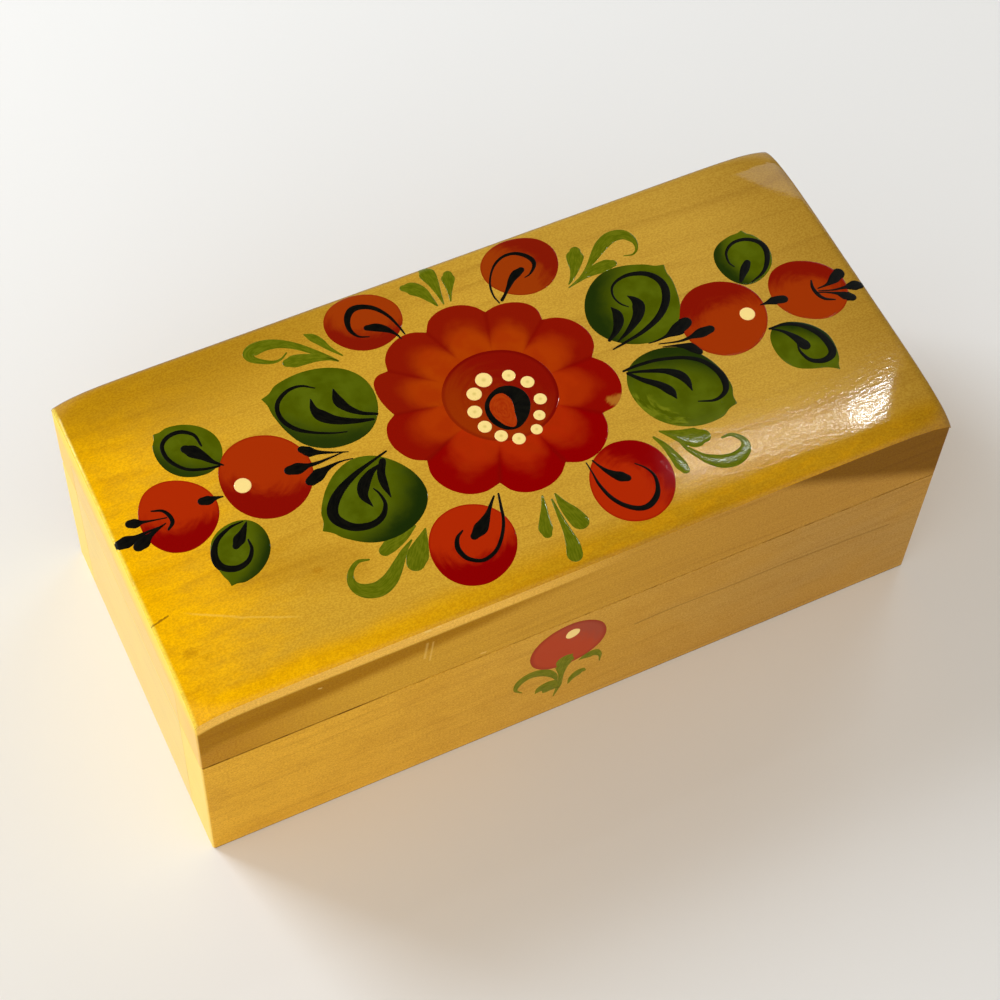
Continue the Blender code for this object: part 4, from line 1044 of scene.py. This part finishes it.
def coat_lid():
    """Gloss coat on the lid: a sheet that follows the wood's height, closed by a sheet inside the wood."""
    along = graded(HALF_LENGTH, COAT_END_INSETS, COAT_STEP[0])
    across = graded(HALF_DEPTH, COAT_SIDE_INSETS, COAT_STEP[1])
    x, y = np.meshgrid(along, across, indexing="ij")
    level = lid_height(x, y)
    upper, lower = (np.stack([x, y, level + lift], -1) for lift in (COAT, -COAT_DEPTH))
    rows, columns = x.shape
    index = np.arange(rows * columns).reshape(rows, columns)
    quads = np.stack([index[:-1, :-1], index[1:, :-1], index[1:, 1:], index[:-1, 1:]], -1).reshape(-1, 4)
    rim = np.concatenate([index[0, :-1], index[:-1, -1], index[-1, :0:-1], index[:0:-1, 0]])
    walls = np.stack([rim, np.roll(rim, -1), np.roll(rim, -1) + rows * columns, rim + rows * columns], -1)
    faces = np.vstack([quads, quads[:, ::-1] + rows * columns, walls])
    vertices = np.vstack([upper.reshape(-1, 3), lower.reshape(-1, 3)])
    marks = np.zeros_like(vertices)
    no_triangles = np.zeros((0, 3), int)
    coat = (vertices, faces, no_triangles), (marks, marks)
    paint_piece("lid_gloss_coat", [coat], "lid", lid_coat())


def paint_rounds(rounds, film, outline_of):
    """Filled rounds on the lid, each blended darker towards one side."""
    return [film_blob(outline_of(points), film, on_lid, toward, tone) for points, toward, tone in rounds]


def paint_strokes(paths, film):
    """Brush strokes on the lid."""
    return [film_stroke(settled(path), film, on_lid) for path in paths]


def paint_lid():
    """The spray on the lid, laid down in the painter's order."""
    flower = film_flower([settled(rim) for rim in PETALS], PETAL_TONES, FLOWER_MIDDLE, FILMS["petals"])
    heart = film_blob(spline(DISC, True), FILMS["heart"], on_lid, (0.8, 0.6))
    eye = film_blob(spline(EYE, True), FILMS["eye"], on_lid)
    tear = film_blob(spline(TEAR, True), FILMS["tear"], on_lid, (0.3, -1.0))
    dots = [film_blob(circle(x, y, radius), FILMS["cream_dots"], on_lid, tone=tone)
            for x, y, radius, tone in CREAM_DOTS]
    layers = {
        "petals": ([flower], petal_paint),
        "heart": ([heart], disc_paint),
        "berries": (paint_rounds(BERRIES, FILMS["berries"], berry_outline), fruit_paint),
        "leaves": (paint_rounds(LEAVES, FILMS["leaves"], leaf_outline), leaf_paint),
        "sprigs": (paint_strokes(SPRIGS, FILMS["sprigs"]), sprig_paint),
        "black_lines": ([*paint_strokes(BLACK_STROKES, FILMS["black_lines"]), eye], black_paint),
        "tear": ([tear], tear_paint),
        "cream_dots": (dots, cream_paint),
    }
    for name, (films, finish) in layers.items():
        paint_piece("paint_" + name, films, "lid", finish())


def paint_front():
    """The small berry on the base's front board."""
    berry = film_blob(spline(FRONT_BERRY, True), FILMS["front_berry"], on_front, (0.7, 0.7))
    strokes = [film_stroke(path, FILMS["front_leaves"], on_front) for path in FRONT_STROKES]
    dot = film_blob(spline(FRONT_DOT, True), FILMS["front_dot"], on_front, tone=0.0)
    paint_piece("paint_front_berry", [berry], "base", front_berry_paint())
    paint_piece("paint_front_leaves", strokes, "base", front_leaf_paint())
    paint_piece("paint_front_dot", [dot], "base", cream_paint())


# Camera, light and floor
def make_camera():
    """Camera over the front left corner, looking down at the box."""
    data = bpy.data.cameras.new("camera")
    data.sensor_width = CAMERA_SENSOR
    data.lens = CAMERA_LENS
    data.shift_x, data.shift_y = CAMERA_SHIFT
    data.clip_start, data.clip_end = (distance * MM for distance in CAMERA_REACH)
    camera = bpy.data.objects.new("camera", data)
    right, down = np.array(CAMERA_RIGHT), np.array(CAMERA_DOWN)
    matrix = np.eye(4)
    matrix[:3] = np.stack([right, -down, -np.cross(right, down), np.array(CAMERA_PLACE) * MM], 1)
    camera.matrix_world = Matrix(matrix.tolist())
    bpy.context.scene.collection.objects.link(camera)
    bpy.context.scene.camera = camera


def make_lamp(name, place, size, power, target=None, turn=0.0, colour=(1.0, 1.0, 1.0)):
    """Rectangular lamp that looks at a target, or straight down, turned about its own axis."""
    data = bpy.data.lights.new(name, "AREA")
    data.shape = "RECTANGLE"
    data.size, data.size_y = size[0] * MM, size[1] * MM
    data.energy = power
    data.color = colour
    back = Vector((0.0, 0.0, 1.0)) if target is None else Vector(place) - Vector(target)
    facing = back.to_track_quat("Z", "Y").to_matrix().to_4x4()
    turned = Matrix.Rotation(math.radians(turn), 4, "Z")
    lamp = bpy.data.objects.new(name, data)
    lamp.matrix_world = Matrix.Translation(Vector(place) * MM) @ facing @ turned
    bpy.context.scene.collection.objects.link(lamp)


def make_lamps():
    """Soft lamps round the box, and two thin strips that the gloss coat mirrors as a glint."""
    make_lamp("key", (-470, 660, 720), (420, 420), 7.2, LAMP_TARGET, colour=(0.79, 0.89, 1.0))
    make_lamp("right", (900, 650, 850), (500, 500), 1.9, LAMP_TARGET, colour=(0.72, 0.87, 1.0))
    make_lamp("front_fill", (-520, -520, 260), (400, 300), 0.75, LAMP_TARGET, colour=(1.0, 0.97, 0.9))
    make_lamp("glint_core", (488, 371, GLINT_HEIGHT), (46, 4), 0.13, turn=GLINT_TURN)
    make_lamp("glint_tail", (404, 381, GLINT_HEIGHT), (131, 4), 0.095, turn=GLINT_TURN)


def make_world():
    """Pale studio, warm low down all round, and dim in the part of the ceiling that the varnish mirrors."""
    world = bpy.data.worlds.new("studio")
    world.use_nodes = True
    bpy.context.scene.world = world
    nodes = Nodes(world.node_tree)
    direction = nodes.node("TexCoord")
    settings = {"operation": "DOT_PRODUCT"}
    dimmed = nodes.node("VectorMath", settings, {0: direction, 1: CEILING_DIM}, "Value")
    colour = nodes.mix(dimmed.band(0.62, 0.92), (0.94, 0.86, 0.76, 1), (0.015, 0.015, 0.015, 1))
    background = next(node for node in world.node_tree.nodes if node.type == "BACKGROUND")
    nodes.feed(background.inputs["Color"], colour)
    background.inputs["Strength"].default_value = 1.0


def make_floor():
    """Plain pale floor, a little warmer to the left as painted warm light."""
    finish = Finish("floor_pale", IOR=1.3)
    # Warmer to the left: painted warm light.
    warm = finish.x.band(250, -350)
    cloud = finish.noise(finish.x * 0.004, finish.y * 0.004, 0.0, 2.0)
    colour = finish.mix(warm, tint(235, 235, 234), tint(232, 229, 224))
    colour = finish.mix(cloud * 0.1, colour, tint(224, 222, 219))
    finish.surface(colour, 0.7)
    mesh = bpy.data.meshes.new("floor")
    reach = FLOOR_REACH * MM
    corners = [(-reach, -reach, 0), (reach, -reach, 0), (reach, reach, 0), (-reach, reach, 0)]
    mesh.from_pydata(corners, [], [(0, 1, 2, 3)])
    mesh.materials.append(finish.material)
    floor = bpy.data.objects.new("floor", mesh)
    bpy.context.scene.collection.objects.link(floor)


def dress_boards():
    """Better finishes in the material slots of the CAD solids."""
    finishes = {
        "lid_shell": lid_wood(),
        "base_front": long_board_wood("front_board_wood", True),
        "base_back": long_board_wood("back_board_wood", False),
        "base_left_end": end_board_wood("left_end_wood", tint(246, 216, 126), -1.0),
        "base_right_end": end_board_wood("right_end_wood", tint(216, 168, 88), 1.0),
        "lid_left_end": end_board_wood("left_panel_wood", tint(246, 210, 118), -1.0),
        "lid_right_end": end_board_wood("right_panel_wood", tint(212, 164, 84), 1.0),
        "base_bottom": bottom_wood(),
    }
    brass = hinge_brass()
    for name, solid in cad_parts.items():
        finish = finishes.get(name, brass)
        for place in solid.material_slots:
            place.material = finish
        if not solid.material_slots:
            solid.data.materials.append(finish)


make_camera()
make_world()
make_lamps()
make_floor()
dress_boards()
coat_lid()
paint_lid()
paint_front()

bpy.context.scene.view_settings.view_transform = "Standard"
